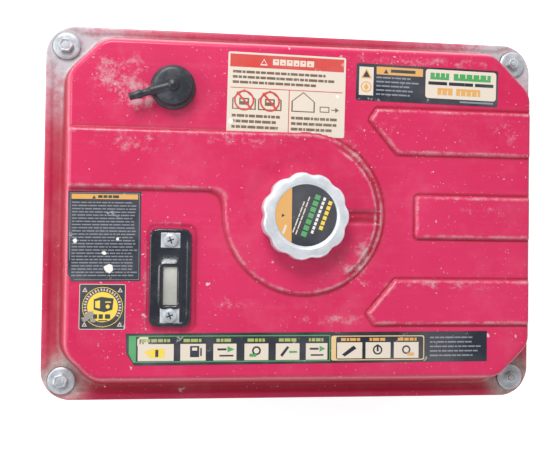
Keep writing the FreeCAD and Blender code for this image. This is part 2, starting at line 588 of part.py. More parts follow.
keep("recoil_pulley", turned([("6 + running", "-8"), ("60", "-8"), ("60", "-5"), ("ropeRadius - ropeThick", "-5"),
                              ("ropeRadius - ropeThick", "5"), ("60", "5"), ("60", "8"), ("6 + running", "8")],
                             ("ropeX", "crankY", crankZ), "X"))
gripY = "(crankY - 78)"
grip = softBlock(("ropeX - gripRadius", "ropeX + gripRadius"), (f"{gripY} - 26", gripY),
                 (f"{ropeZ} - gripLong/2", f"{ropeZ} + gripLong/2"), "9", "6")
keep("starter_handle", cut(grip, rod("ropeThick", "30", ("ropeX", f"{gripY} + 1", ropeZ), "-Y")))
keep("starter_rope", rod("ropeThick", "100", ("ropeX", "crankY - 2", ropeZ), "-Y"))

# ---- fuel and air ----
stub = fuse(rod("6", "12", ("valveX", "valveY", f"{underside} - panTall - 3")),
            hexagon("17", "8", ("valveX", "valveY", f"{underside} - panTall - 11")),
            rod("9", f"{underside} - panTall - valveZ - 1", ("valveX", "valveY", "valveZ - 10")))
spout = rod("3.5", "22", ("valveX", "valveY + 6", "valveZ"), "Y")
keep("fuel_valve", fuse(stub, spout))
lever = fuse(rod("8", "5", ("valveX", "valveY - 9.3", "valveZ"), "-Y"),
             block(("valveX - 4", "valveX + 4"), ("valveY - 14.3", "valveY - 10.3"), ("valveZ - 30", "valveZ")))
keep("fuel_valve_lever", lever)
carbX = "engineX"
hoseSpots = [("valveX", "valveY + 14", "valveZ"), ("valveX", "carbY", "valveZ"), ("engineX + carbRadius + 6", "carbY", "valveZ")]
hoseRun = [[number(v) for v in spot] for spot in hoseSpots]
hose = piped(hoseRun, [values["hoseBend"]], values["hoseRadius"])
hole = piped(hoseRun, [values["hoseBend"]], 3.5)
keep("fuel_hose", feature(hose.cut(hole)))
carb = fuse(rod("carbRadius", "carbLong", (carbX, "carbY + carbLong/2", "carbZ"), "-Y"),
            rod("15", "24", (carbX, "carbY", "carbZ - 36")),
            rod("3.5", "14", ("engineX + carbRadius - 4", "carbY", "valveZ"), "X"))
through = rod("9", "carbLong", (carbX, "carbY + carbLong/2", "carbZ"), "-Y")
keep("choke_lever", fuse(rod("6", "3", (carbX, "carbY - 14", "carbZ + carbRadius + 0.4")),
                         block(("engineX", "engineX + 30"), ("carbY - 17", "carbY - 11"),
                               ("carbZ + carbRadius + 0.4", "carbZ + carbRadius + 3.4"))))
portY, portZ = onBarrel("barrelEnd + 18", "finHalf - 2")
elbowSpots = [(carbX, "carbY + carbLong/2 - 4", "carbZ"), (carbX, portY, "carbZ"), (carbX, portY, portZ)]
elbowRun = [[number(v) for v in spot] for spot in elbowSpots]
intake, intakeBore = (feature(piped(elbowRun, [13], r)) for r in (12, 9))
keep("carburettor", cut(fuse(carb, intake), through, intakeBore, nodes["cylinder_head"], nodes["crankcase"]))
basePlate = slab(corners(("airLeft + 3", "airRight - 3"), ("airLow + 3", "airHigh - 3")),
                 "carbY - carbLong/2 - airBack", ("0", "carbY - carbLong/2", "0"), "-Y", side="10")
keep("air_cleaner_base", cut(basePlate, rod("9", "20", (carbX, "airBack - 5", "carbZ"), "Y")))
keep("air_filter", softBlock(("airLeft + 10", "airRight - 10"), ("airFront + 30", "airBack"),
                             ("airLow + 8", "airHigh - 8"), "5"))
coverOut = slab(corners(("airLeft", "airRight"), ("airLow", "airHigh")), "airBack - airFront", ("0", "airBack", "0"), "-Y",
                side="12", top="6")
coverIn = slab(corners(("airLeft + airWall", "airRight - airWall"), ("airLow + airWall", "airHigh - airWall")),
               "airBack - airFront - airWall", ("0", "airBack", "0"), "-Y", side="10")
keep("air_cleaner_cover", cut(coverOut, coverIn))

# ---- exhaust ----
can = softBlock(("mufflerLeft", "mufflerRight"), ("mufflerFront", "mufflerBack"), ("mufflerLow", "mufflerHigh"), "14", "8")
cavity = softBlock(("mufflerLeft + 2", "mufflerRight - 2"), ("mufflerFront + 2", "mufflerBack - 2"),
                   ("mufflerLow + 2", "mufflerHigh - 2"), "12", "7")
tailY, tailZ = "(mufflerFront + 22)", "(mufflerHigh - 22)"
tail = rod("tailRadius", "28", ("mufflerLeft + 4", tailY, tailZ), "-X")
tailRing = rod("tailRadius + 3", "7", ("mufflerLeft + 4", tailY, tailZ), "-X")
tailBore = rod("tailRadius - 1.5", "40", ("mufflerLeft + 10", tailY, tailZ), "-X")
portY, portZ = onBarrel("barrelEnd + 18")
portY, portZ = onBarrel("barrelEnd + 18")
stub = fuse(rod("13", "engineX - finHalf - mufflerRight", ("mufflerRight", portY, portZ), "X"),
            rod("17", "4", ("engineX - finHalf - 4", portY, portZ), "X"))
keep("muffler", cut(fuse(can, tail, tailRing, stub), cavity, tailBore, rod("10", "40", ("mufflerRight - 10", portY, portZ), "X")))
rearX = ("mufflerLeft - 2", "mufflerRight - 2")
back = block(rearX, ("mufflerBack + guardGap", "mufflerBack + guardGap + guardWall"), ("mufflerLow", "mufflerHigh + guardGap"))
roof = block(rearX, ("mufflerFront + 6", "mufflerBack + guardGap + guardWall"),
             ("mufflerHigh + guardGap", "mufflerHigh + guardGap + guardWall"))
louvres = []
for i in range(11):
    x = f"mufflerLeft + 8 + {i}*13"
    louvres.append(block((x, f"{x} + 6"), ("mufflerBack", "mufflerBack + guardGap + 5"), ("mufflerLow + 10", "mufflerHigh - 10")))
standoff = [rod("4", "guardGap", (x, "mufflerBack - 30", "mufflerHigh"), "Z") for x in ("mufflerLeft + 30", "mufflerRight - 30")]
keep("muffler_guard", cut(fuse(back, roof, *standoff), *louvres))

# ---- alternator ----
axisAt = ("0", "crankY", crankZ)
statorOuter = "(frameRadius - frameWall)"
statorInner = "(frameRadius - frameWall - statorRing)"
rotorRadius = "(frameRadius - frameWall - statorRing - airGap)"
ribs = [block(("housingLeft + 6", "housingRight - 6"), (f"crankY {s} 30 - 3", f"crankY {s} 30 + 3"),
              (f"{crankZ} + frameRadius - 10", f"{crankZ} + frameRadius + 3")) for s in "-+"]
housing = turned([(statorOuter, "housingLeft"), ("frameRadius", "housingLeft"), ("frameRadius", "housingRight"),
                  (statorOuter, "housingRight")], axisAt, "X")
stand = block(("generatorPuckX - 14", "generatorPuckX + 14"), ("crankY - bedHalf - 14", "crankY + bedHalf + 14"),
              (caseLow, f"{caseLow} + 34"))
keep("alternator_frame", fuse(housing, cut(stand, rod("frameRadius", "400", ("-300", "crankY", crankZ), "X"))))
keep("stator_core", turned([(statorInner, "statorLeft"), (statorOuter, "statorLeft"), (statorOuter, "statorRight"),
                            (statorInner, "statorRight")], axisAt, "X"))
keep("engine_adapter", cut(turned([("30", "housingRight"), ("frameRadius", "housingRight"), ("frameRadius", "housingRight + 8"),
                                   ("60", "engineX - caseHalf"), ("30", "engineX - caseHalf")], axisAt, "X"),
                           nodes["crankcase"]))
bellVents = [block(("bellLeft - 2", "bellLeft + 12"), (f"crankY - 4 + {dy}", f"crankY + 4 + {dy}"),
                   (f"{crankZ} - 50", f"{crankZ} - 24")) for dy in (-32, -16, 0, 16, 32)]
keep("end_bell", cut(turned([("12 + running", "bellLeft + 4"), ("24", "bellLeft"), ("frameRadius - 16", "bellLeft"),
                             ("frameRadius", "bellLeft + 14"), ("frameRadius", "housingLeft"), ("frameRadius - 6", "housingLeft"),
                             ("frameRadius - 6", "bellLeft + 16"), ("frameRadius - 20", "bellLeft + 5"),
                             ("24", "bellLeft + 5"), ("24", "bellLeft + 20"), ("12 + running", "bellLeft + 20")], axisAt, "X"),
                     *bellVents))
keep("rotor", turned([("0", "bellLeft + 6"), ("12", "bellLeft + 6"), ("12", "bellLeft + 24"), ("16", "bellLeft + 24"),
                           ("16", "statorLeft + 2"), (rotorRadius, "statorLeft + 2"), (rotorRadius, "statorRight - 2"),
                           ("16", "statorRight - 2"), ("16", "housingRight + 8"), ("0", "housingRight + 8")], axisAt, "X"))

# ---- control panel ----
boxX, boxY, boxZ = ("boxLeft", "boxRight"), ("boxFront", "boxBack"), ("boxLow", "boxHigh")
case = softBlock(boxX, boxY, boxZ, "4")
inside = block(("boxLeft + boxWall", "boxRight - boxWall"), ("boxFront - 1", "boxBack - boxWall"),
               ("boxLow + boxWall", "boxHigh - boxWall"))
hangers = [block((f"{x} - 10", f"{x} + 10"), ("boxFront + 2", "boxFront + 5"), ("boxHigh - 1", "railZ"))
           for x in ("boxLeft + 30", "boxRight - 30")]
keep("control_box", cut(fuse(case, *hangers), inside, rod("tubeRadius", "2*hoopX", ("-hoopX", "-hoopDepth", "railZ"), "X")))
rowX = ["duplexX", "duplexX + duplexStep"]
holes = [block((f"{x} - outletWide/2 + 1", f"{x} + outletWide/2 - 1"), ("boxFront - 20", "boxFront + 20"),
               ("panelRow - outletTall/2 + 1", "panelRow + outletTall/2 - 1")) for x in rowX]
holes.append(rod("twistRadius - 2", "30", ("twistX", "boxFront + 10", "panelRow"), "-Y"))
holes.append(block(("switchX - 9.5", "switchX + 9.5"), ("boxFront - 20", "boxFront + 20"), ("panelRow - 14", "panelRow + 14")))
breakerXs = ["breakerX", "breakerX + breakerStep"]
holes += [rod("5", "30", (x, "boxFront + 10", "lowRow"), "-Y") for x in breakerXs]
holes.append(rod("3", "30", ("switchX", "boxFront + 10", "lowRow"), "-Y"))
faceSpots = corners(("boxLeft + 1", "boxRight - 1"), ("boxLow + 1", "boxHigh - 1"))
face = slab(faceSpots, "faceThick", ("0", "boxFront", "0"), "-Y", side="6")
keep("panel_face", cut(face, *holes))
plugs = []
for x in rowX:
    shell = slab(corners((f"{x} - outletWide/2", f"{x} + outletWide/2"), ("panelRow - outletTall/2", "panelRow + outletTall/2")),
                 "4", ("0", faceFront, "0"), "-Y", side="4", top="1")
    core = block((f"{x} - outletWide/2 + 1.3", f"{x} + outletWide/2 - 1.3"), (faceFront, "boxFront + 24"),
                 ("panelRow - outletTall/2 + 1.3", "panelRow + outletTall/2 - 1.3"))
    cuts = []
    for z in ("panelRow - 19", "panelRow + 19"):
        for dx, tall in ((-6.4, 8), (6.4, 7)):
            cuts.append(block((f"{x} + {dx} - 1", f"{x} + {dx} + 1"), (f"{faceFront} - 5", f"{faceFront} + 12"),
                              (f"{z} - {tall / 2}", f"{z} + {tall / 2}")))
        cuts.append(rod("2.5", "17", (x, f"{faceFront} + 12", f"{z} - 9"), "-Y"))
    plugs.append(cut(fuse(shell, core), *cuts))
keep("duplex_outlets", group(*plugs))
lock = fuse(rod("twistRadius", "5", ("twistX", faceFront, "panelRow"), "-Y"),
            rod("twistRadius - 2.3", "30", ("twistX", "boxFront + 26", "panelRow"), "-Y"))
bend = []
for i in range(3):
    spot = Rotation(Vector(0, 1, 0), 120 * i + 60)
    slit = new("Part::Box", "slit")
    slit.Length = 9
    slit.Width = 20
    slit.Height = 2
    lift = spot.multVec(Vector(-4.5, 0, 11))
    put(slit, (f"twistX + {lift.x:.4f}", f"{faceFront} - 8", f"panelRow + {lift.z:.4f}"), spot)
    bend.append(slit)
keep("twist_lock_outlet", cut(lock, *bend))
switchRim = block(("switchX - 12", "switchX + 12"), (f"{faceFront} - 2", faceFront), ("panelRow - 17", "panelRow + 17"))
switchHole = block(("switchX - 8", "switchX + 8"), (f"{faceFront} - 2", faceFront), ("panelRow - 12.5", "panelRow + 12.5"))
switchEars = [block((f"switchX {s} 8.7 - 0.7", f"switchX {s} 8.7 + 0.7"), (faceFront, f"{faceFront} + 6"),
                    ("panelRow - 5", "panelRow + 5")) for s in "-+"]
pinBore = rod("switchPin + 0.1", "30", ("switchX - 15", f"{faceFront} + 2", "panelRow"), "X")
keep("engine_switch_frame", cut(fuse(cut(switchRim, switchHole), *switchEars), pinBore))
rocker = slab([("-11.5", "-3"), ("11.5", "1"), ("11.5", "4"), ("0", "3.4"), ("-11.5", "6")], "14",
              ("switchX - 7", f"{faceFront} - 1", "panelRow"), Rotation(Vector(0, 0, 1), Vector(0, -1, 0), Vector(1, 0, 0), "XYZ"))
rockerBoss = block(("switchX - 5", "switchX + 5"), (f"{faceFront} - 2", f"{faceFront} + 4.5"), ("panelRow - 3", "panelRow + 3"))
rockerPin = rod("switchPin", "18.4", ("switchX - 9.2", f"{faceFront} + 2", "panelRow"), "X")
keep("engine_switch", fuse(rocker, rockerBoss, rockerPin))
for x, name in zip(breakerXs, ("breaker_left", "breaker_right")):
    keep(name + "_button", rod("3.4", "26", (x, "boxFront + 14", "lowRow"), "-Y"))
keep("breaker_bodies", group(*[cut(fuse(rod("breakerRadius", "4", (x, faceFront, "lowRow"), "-Y"),
                                        block((f"{x} - 8", f"{x} + 8"), ("boxFront", "boxFront + 22"), ("lowRow - 12", "lowRow + 12"))),
                                   rod("3.6", "60", (x, "boxFront + 40", "lowRow"), "-Y"))
                               for x in breakerXs]))
keep("ground_terminal", fuse(rod("3", "17", ("switchX", "boxFront + 2", "lowRow"), "-Y"),
                             hexagon("10", "4", ("switchX", faceFront, "lowRow"), "-Y")))
screws = []
for x in ("boxLeft + 10", "boxRight - 10"):
    for z in ("boxLow + 10", "boxHigh - 10"):
        screws.append(cone("5", "3.5", "3", (x, faceFront, z), "-Y"))
keep("panel_screws", group(*screws))

doc.recompute()
broken = [item.Name for item in doc.Objects if "Invalid" in item.State or "Error" in item.State]
if broken:
    raise SystemExit("failed objects: " + ", ".join(broken))
for name, item in nodes.items():
    if item.Shape.isNull() or not item.Shape.isValid() or not item.Shape.Solids:
        raise SystemExit("bad shape: " + name)

os.makedirs("parts", exist_ok=True)
for name, item in nodes.items():
    item.Shape.exportStep(f"parts/{name}.step")
print(len(nodes), "pieces written")
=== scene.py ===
import bpy
import bmesh
import json
import math
import numpy as np
from mathutils import Euler, Matrix, Vector


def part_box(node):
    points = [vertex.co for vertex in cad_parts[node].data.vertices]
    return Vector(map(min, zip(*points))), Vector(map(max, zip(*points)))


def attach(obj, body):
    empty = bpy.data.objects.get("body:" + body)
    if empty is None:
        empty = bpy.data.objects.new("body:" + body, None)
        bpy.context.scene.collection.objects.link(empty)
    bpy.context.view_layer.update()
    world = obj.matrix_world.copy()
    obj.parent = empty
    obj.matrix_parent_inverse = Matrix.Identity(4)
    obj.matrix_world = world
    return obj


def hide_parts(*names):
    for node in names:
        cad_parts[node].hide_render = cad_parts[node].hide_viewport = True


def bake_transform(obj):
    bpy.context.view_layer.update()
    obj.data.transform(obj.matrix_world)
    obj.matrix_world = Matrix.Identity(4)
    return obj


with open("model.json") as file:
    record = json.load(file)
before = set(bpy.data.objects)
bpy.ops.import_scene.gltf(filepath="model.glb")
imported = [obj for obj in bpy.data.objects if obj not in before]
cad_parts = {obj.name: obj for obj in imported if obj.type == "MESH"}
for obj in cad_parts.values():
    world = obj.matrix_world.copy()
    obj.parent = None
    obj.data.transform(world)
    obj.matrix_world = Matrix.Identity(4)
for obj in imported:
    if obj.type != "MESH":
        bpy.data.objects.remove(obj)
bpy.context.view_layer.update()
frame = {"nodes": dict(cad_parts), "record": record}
mm = 0.001

# camera, looking down on the tank from over its left half
camera = {"place": (-122.6, -24.9, 1222.0), "turn": (0.859, -7.063, 0.757), "lens": 51.22}

# heights in mm, read from the frame
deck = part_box("tank_washers")[0].z / mm
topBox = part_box("tank_upper_shell")
rimX, rimY = topBox[1].x / mm, topBox[1].y / mm
relief = 4.0
shellTop = topBox[1].z / mm - relief
bolts = [(sx * 240.0, sy * 172.0) for sx in (-1, 1) for sy in (-1, 1)]

tank = {
    "spacing": 1.5, "rimCorner": 29.0, "shellHalf": (248.5, 179.5), "shift": (6.0, 3.4),
    "boltClear": (19.0, 15.0), "run": 11.5, "corner": 34.0, "base": 2.0, "shoulder": 3.8,
    "disc": (3.5, 1.5), "discRadius": 81.0, "dishDepth": 1.0, "step": 3.0,
    "gutterAt": 77.2, "gutterHalf": 2.9, "gutterDepth": 3.0, "beadDrop": 1.3, "drainAt": -1.4,
    "drainHalf": 8.4, "band": (24.0, 82.0), "bandBlend": 22.0, "padRow": 88.0, "padHalf": 22.0,
    "padEnd": 260.0, "lipFrom": (0.231, 0.163),
    # lipFrom is in metres; the lip under the outline drops and moves out by these, ring by ring
    "lip": ((0.9, 0.35), (1.4, 0.25), (1.6, -0.5)),
    "neck": (1.5, -1.5), "neckRadius": 28.0, "hem": 1.7, "hemWide": 7.5, "wave": 0.3,
    "dishRadius": 64.0, "dishFade": 16.0, "gutterMiddle": 4.0, "gutterSpan": 66.0, "capRing": 38.0,
    "backRow": 40.0, "frontRow": -150.0, "rightEnd": 200.0, "seatAt": (-128.5, -65.0),
    "seatHalf": (24.5, 53.5), "seatCorner": 9.0, "seatDepth": 1.1,
    "scuffs": [(-184, 134, 26, 18, 1.0), (-160, 112, 18, 12, 0.6), (-168, 70, 30, 10, 0.5),
               (56, -52, 14, 20, 0.7), (66, -30, 6, 8, 0.8), (-70, -88, 26, 9, 0.35),
               (60, 62, 8, 26, 0.4), (-60, 74, 40, 6, 0.5), (120, 160, 90, 5, 0.5),
               (160, -70, 70, 4, 0.5), (90, 96, 14, 10, 0.35), (190, 6, 26, 8, 0.3),
               (215, 90, 18, 14, 0.35), (-238, 100, 6, 90, 0.6), (-20, -178, 160, 5, 0.3),
               (40, -105, 50, 5, 0.35)],
    "flats": [(-78, 46, 80, 166), (53, 209, 116, 159), (-232, -157, -68, 22),
              (-220, -171, -117, -69), (-174, 200, -153, -116), (-152, -108, -114, -14),
              (-155, -105, 100, 149)],
}


def addMesh(name, points, faces, body, smooth=True):
    mesh = bpy.data.meshes.new(name)
    mesh.from_pydata([tuple(p) for p in points], [], faces)
    mesh.validate()
    for polygon in mesh.polygons:
        polygon.use_smooth = smooth
    piece = bpy.data.objects.new(name, mesh)
    bpy.context.scene.collection.objects.link(piece)
    if body:
        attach(piece, body)
    return piece


def lathe(profile, segments=64, swell=None):
    # points and faces of a turned form; swell(angle, radius, height) may push a ring in or out
    points, faces, rings = [], [], []
    for radius, height in profile:
        ring = []
        for i in range(segments):
            angle = 2 * math.pi * i / segments
            reach = radius if swell is None else radius + swell(angle, radius, height)
            ring.append(len(points))
            points.append(Vector((reach * math.cos(angle), reach * math.sin(angle), height)))
        rings.append(ring)
    for low, high in zip(rings, rings[1:]):
        for i in range(segments):
            j = (i + 1) % segments
            faces.append((low[i], low[j], high[j], high[i]))
    return points, faces, rings


def closeEnds(points, faces, rings, low=True, high=True):
    for ring, wanted, order in ((rings[0], low, -1), (rings[-1], high, 1)):
        if wanted:
            faces.append(tuple(ring[::order]))
    return points, faces


def placed(points, place, turn=None):
    matrix = Matrix.Translation(Vector(place) * mm) @ (turn or Matrix.Identity(4))
    return [matrix @ (p * mm) for p in points]


def shifted(points, place, turn=0):
    # turned about +Z and moved, all in mm
    matrix = Matrix.Translation(Vector(place)) @ Matrix.Rotation(math.radians(turn), 4, "Z")
    return [matrix @ p for p in points]


def joined(parts):
    points, faces = [], []
    for some, these in parts:
        faces += [tuple(i + len(points) for i in face) for face in these]
        points += some
    return points, faces


def assembled(name, parts, body, finish, replaced=None, smooth=True):
    # one piece from forms in mm, in one finish; it may stand in for a piece of the frame
    points, faces = joined(parts)
    piece = addMesh(name, [p * mm for p in points], faces, body, smooth)
    piece.data.materials.append(made[finish])
    if replaced:
        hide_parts(replaced)
    return piece


def softBox(low, high, bevel, segments=3):
    # a bevelled box between two corners in mm
    work = bmesh.new()
    bmesh.ops.create_cube(work, size=1.0)
    low, high = Vector(low), Vector(high)
    for vert in work.verts:
        vert.co = (low + high) / 2 + Vector(v * s for v, s in zip(vert.co, high - low))
    bmesh.ops.bevel(work, geom=work.edges[:], offset=bevel, segments=segments, profile=0.5,
                    affect="EDGES")
    work.verts.index_update()
    points = [vert.co.copy() for vert in work.verts]
    faces = [tuple(v.index for v in face.verts) for face in work.faces]
    work.free()
    return points, faces


# node helpers
class Wire:
    # a value socket that can be used in sums
    def __init__(self, tree, socket):
        self.tree = tree
        self.socket = socket

    def math(self, operation, other=None, clamp=False, swap=False):
        made = self.tree.nodes.new("ShaderNodeMath")
        made.operation = operation
        made.use_clamp = clamp
        terms = [self, other] if not swap else [other, self]
        for slot, term in zip(made.inputs, terms):
            if isinstance(term, Wire):
                self.tree.links.new(term.socket, slot)
            elif term is not None:
                slot.default_value = term
        return Wire(self.tree, made.outputs[0])

    def __add__(self, other): return self.math("ADD", other)
    def __radd__(self, other): return self.math("ADD", other)
    def __sub__(self, other): return self.math("SUBTRACT", other)
    def __rsub__(self, other): return self.math("SUBTRACT", other, swap=True)
    def __mul__(self, other): return self.math("MULTIPLY", other)
    def __rmul__(self, other): return self.math("MULTIPLY", other)

    def between(self, low, high):
        return (self - low).math("DIVIDE", high - low, clamp=True)


class Finish:
    def __init__(self, name):
        self.material = bpy.data.materials.new(name)
        self.material.use_nodes = True
        self.tree = self.material.node_tree
        self.shader = self.tree.nodes["Principled BSDF"]
        self.where = self.node("ShaderNodeTexCoord").outputs["Object"]

    def node(self, kind, settings=None, sockets=None):
        made = self.tree.nodes.new(kind)
        for key, value in (settings or {}).items():
            setattr(made, key, value)
        for key, value in (sockets or {}).items():
            self.feed(made.inputs[key], value)
        return made

    def feed(self, slot, value):
        if isinstance(value, Wire):
            self.tree.links.new(value.socket, slot)
        elif isinstance(value, bpy.types.NodeSocket):
            self.tree.links.new(value, slot)
        elif isinstance(value, tuple) and len(value) == 3 and len(slot.default_value) == 4:
            slot.default_value = (*value, 1.0)
        else:
            slot.default_value = value

    def noise(self, scale, detail=3.0, roughness=0.55, stretch=None):
        where = self.where
        if stretch:
            where = self.node("ShaderNodeMapping", None,
                              {"Vector": where, "Scale": stretch}).outputs[0]
        made = self.node("ShaderNodeTexNoise", None, {"Vector": where, "Scale": scale,
                                                      "Detail": detail, "Roughness": roughness})
        return Wire(self.tree, made.outputs[0])

    def mask(self, name):
        made = self.node("ShaderNodeAttribute", {"attribute_name": name})
        return Wire(self.tree, made.outputs["Fac"])

    def mix(self, factor, first, second):
        made = self.node("ShaderNodeMix", {"data_type": "RGBA"}, {0: factor, 6: first, 7: second})
        return made.outputs[2]

    def bump(self, height, distance, strength=1.0):
        made = self.node("ShaderNodeBump", None,
                         {"Height": height, "Distance": distance, "Strength": strength})
        self.feed(self.shader.inputs["Normal"], made.outputs[0])

    def set(self, **sockets):
        names = {"color": "Base Color", "rough": "Roughness", "metal": "Metallic",
                 "coat": "Coat Weight", "coatRough": "Coat Roughness"}
        for key, value in sockets.items():
            self.feed(self.shader.inputs[names[key]], value)


def plain(name, dark, light, rough, metal=0.0, grain=(900.0, 0.00008), patch=14.0, dust=0.25,
          dustColor=(0.42, 0.39, 0.35), brushed=None, coat=0.0):
    # two tones broken up by noise, a fine grain, and dust in patches
    f = Finish(name)
    cloud = f.noise(patch, 4.0)
    fine = f.noise(grain[0], 2.0, stretch=brushed)
    spots = f.noise(patch * 5, 5.0, 0.7)
    dusty = spots.between(0.48, 0.78) * dust
    f.set(color=f.mix(dusty, f.mix(cloud.between(0.35, 0.68), dark, light), dustColor))
    f.set(rough=(cloud - 0.5) * 0.16 + dusty * 0.3 + rough + (fine - 0.5) * 0.1)
    f.set(metal=metal - dusty * metal if metal else 0.0, coat=coat)
    f.bump(fine + spots * 0.3, grain[1])
    return f.material


finishes = {
    "frame_paint": dict(dark=(0.018, 0.018, 0.02), light=(0.026, 0.026, 0.028), rough=0.33,
                        coat=0.25, dust=0.06),
    "zinc": dict(dark=(0.40, 0.43, 0.46), light=(0.66, 0.70, 0.75), rough=0.4, metal=0.3,
                 patch=110.0, dust=0.35, dustColor=(0.36, 0.32, 0.29)),
    "neck_steel": dict(dark=(0.4, 0.4, 0.4), light=(0.6, 0.6, 0.6), rough=0.35, metal=1.0),
    "rubber": dict(dark=(0.014, 0.014, 0.014), light=(0.03, 0.03, 0.03), rough=0.75,
                   grain=(600.0, 0.0002)),
    "vent_plastic": dict(dark=(0.012, 0.014, 0.02), light=(0.03, 0.036, 0.05), rough=0.4, dust=0.22,
                         dustColor=(0.3, 0.31, 0.34)),
    "gloss_black": dict(dark=(0.005, 0.007, 0.014), light=(0.009, 0.013, 0.026), rough=0.16,
                        dust=0.07, coat=0.5),
    "gauge_window": dict(dark=(0.30, 0.31, 0.29), light=(0.58, 0.57, 0.53), rough=0.2, dust=0.4,
                         dustColor=(0.62, 0.58, 0.48), coat=0.6),
    "float_plastic": dict(dark=(0.5, 0.47, 0.38), light=(0.62, 0.6, 0.5), rough=0.6),
    "pointer": dict(dark=(0.6, 0.12, 0.02), light=(0.75, 0.2, 0.03), rough=0.5),
    "cast_aluminium": dict(dark=(0.30, 0.30, 0.305), light=(0.47, 0.47, 0.48), rough=0.55,
                           metal=0.85, grain=(420.0, 0.0003), dust=0.3),
    "machined_aluminium": dict(dark=(0.6, 0.6, 0.61), light=(0.75, 0.75, 0.76), rough=0.25,
                               metal=1.0),
    "black_metal": dict(dark=(0.016, 0.016, 0.017), light=(0.03, 0.03, 0.03), rough=0.42,
                        dust=0.08),
    "steel": dict(dark=(0.28, 0.28, 0.29), light=(0.48, 0.48, 0.49), rough=0.35, metal=1.0,
                  brushed=(1.0, 18.0, 18.0)),
    "cast_iron": dict(dark=(0.10, 0.10, 0.105), light=(0.18, 0.175, 0.17), rough=0.65, metal=0.6,
                      grain=(300.0, 0.0004)),
    "black_plastic": dict(dark=(0.016, 0.016, 0.016), light=(0.028, 0.028, 0.028), rough=0.5,
                          dust=0.08, grain=(1400.0, 0.00015)),
    "red_plastic": dict(dark=(0.42, 0.012, 0.03), light=(0.55, 0.02, 0.045), rough=0.34),
    "white_plastic": dict(dark=(0.62, 0.61, 0.58), light=(0.78, 0.77, 0.74), rough=0.4),
    "rope": dict(dark=(0.5, 0.5, 0.46), light=(0.72, 0.71, 0.66), rough=0.85,
                 grain=(1600.0, 0.0004)),
    "brass": dict(dark=(0.45, 0.32, 0.12), light=(0.62, 0.47, 0.2), rough=0.32, metal=1.0),
    "hose": dict(dark=(0.015, 0.015, 0.016), light=(0.03, 0.03, 0.03), rough=0.45),
    "filter_paper": dict(dark=(0.5, 0.36, 0.14), light=(0.66, 0.5, 0.24), rough=0.9,
                         brushed=(60.0, 1.0, 1.0)),
    "muffler_steel": dict(dark=(0.16, 0.13, 0.11), light=(0.36, 0.33, 0.30), rough=0.5, metal=0.8,
                          patch=22.0, dustColor=(0.30, 0.16, 0.08), dust=0.5),
    "copper": dict(dark=(0.35, 0.13, 0.06), light=(0.55, 0.26, 0.13), rough=0.35, metal=0.9,
                   brushed=(1.0, 30.0, 30.0)),
    "panel_plastic": dict(dark=(0.02, 0.02, 0.022), light=(0.03, 0.03, 0.032), rough=0.5, dust=0.07,
                          grain=(1600.0, 0.00025)),
    "outlet_plastic": dict(dark=(0.012, 0.012, 0.012), light=(0.022, 0.022, 0.022), rough=0.3),
    "cap_metal": dict(dark=(0.66, 0.70, 0.76), light=(0.86, 0.89, 0.93), rough=0.32, metal=0.45,
                      patch=70.0, dust=0.3, dustColor=(0.60, 0.60, 0.60)),
}


enamel = {
    "deep": (0.55, 0.010, 0.074), "bright": (0.66, 0.030, 0.122), "shade": (0.30, 0.001, 0.012),
    "haze": (0.80, 0.32, 0.40), "rubbedAndLit": (0.56, 0.33, 0.37), "rubbedAndLitPale": (0.60, 0.42, 0.44),
    "chipPale": (0.74, 0.62, 0.62), "chipDark": (0.42, 0.33, 0.31), "dirt": (0.30, 0.24, 0.22),
    "dustyDirt": (0.58, 0.52, 0.50), "stain": (0.52, 0.52, 0.56), "specular": 0.3, "coat": 0.3,
    "rough": 0.33,
}


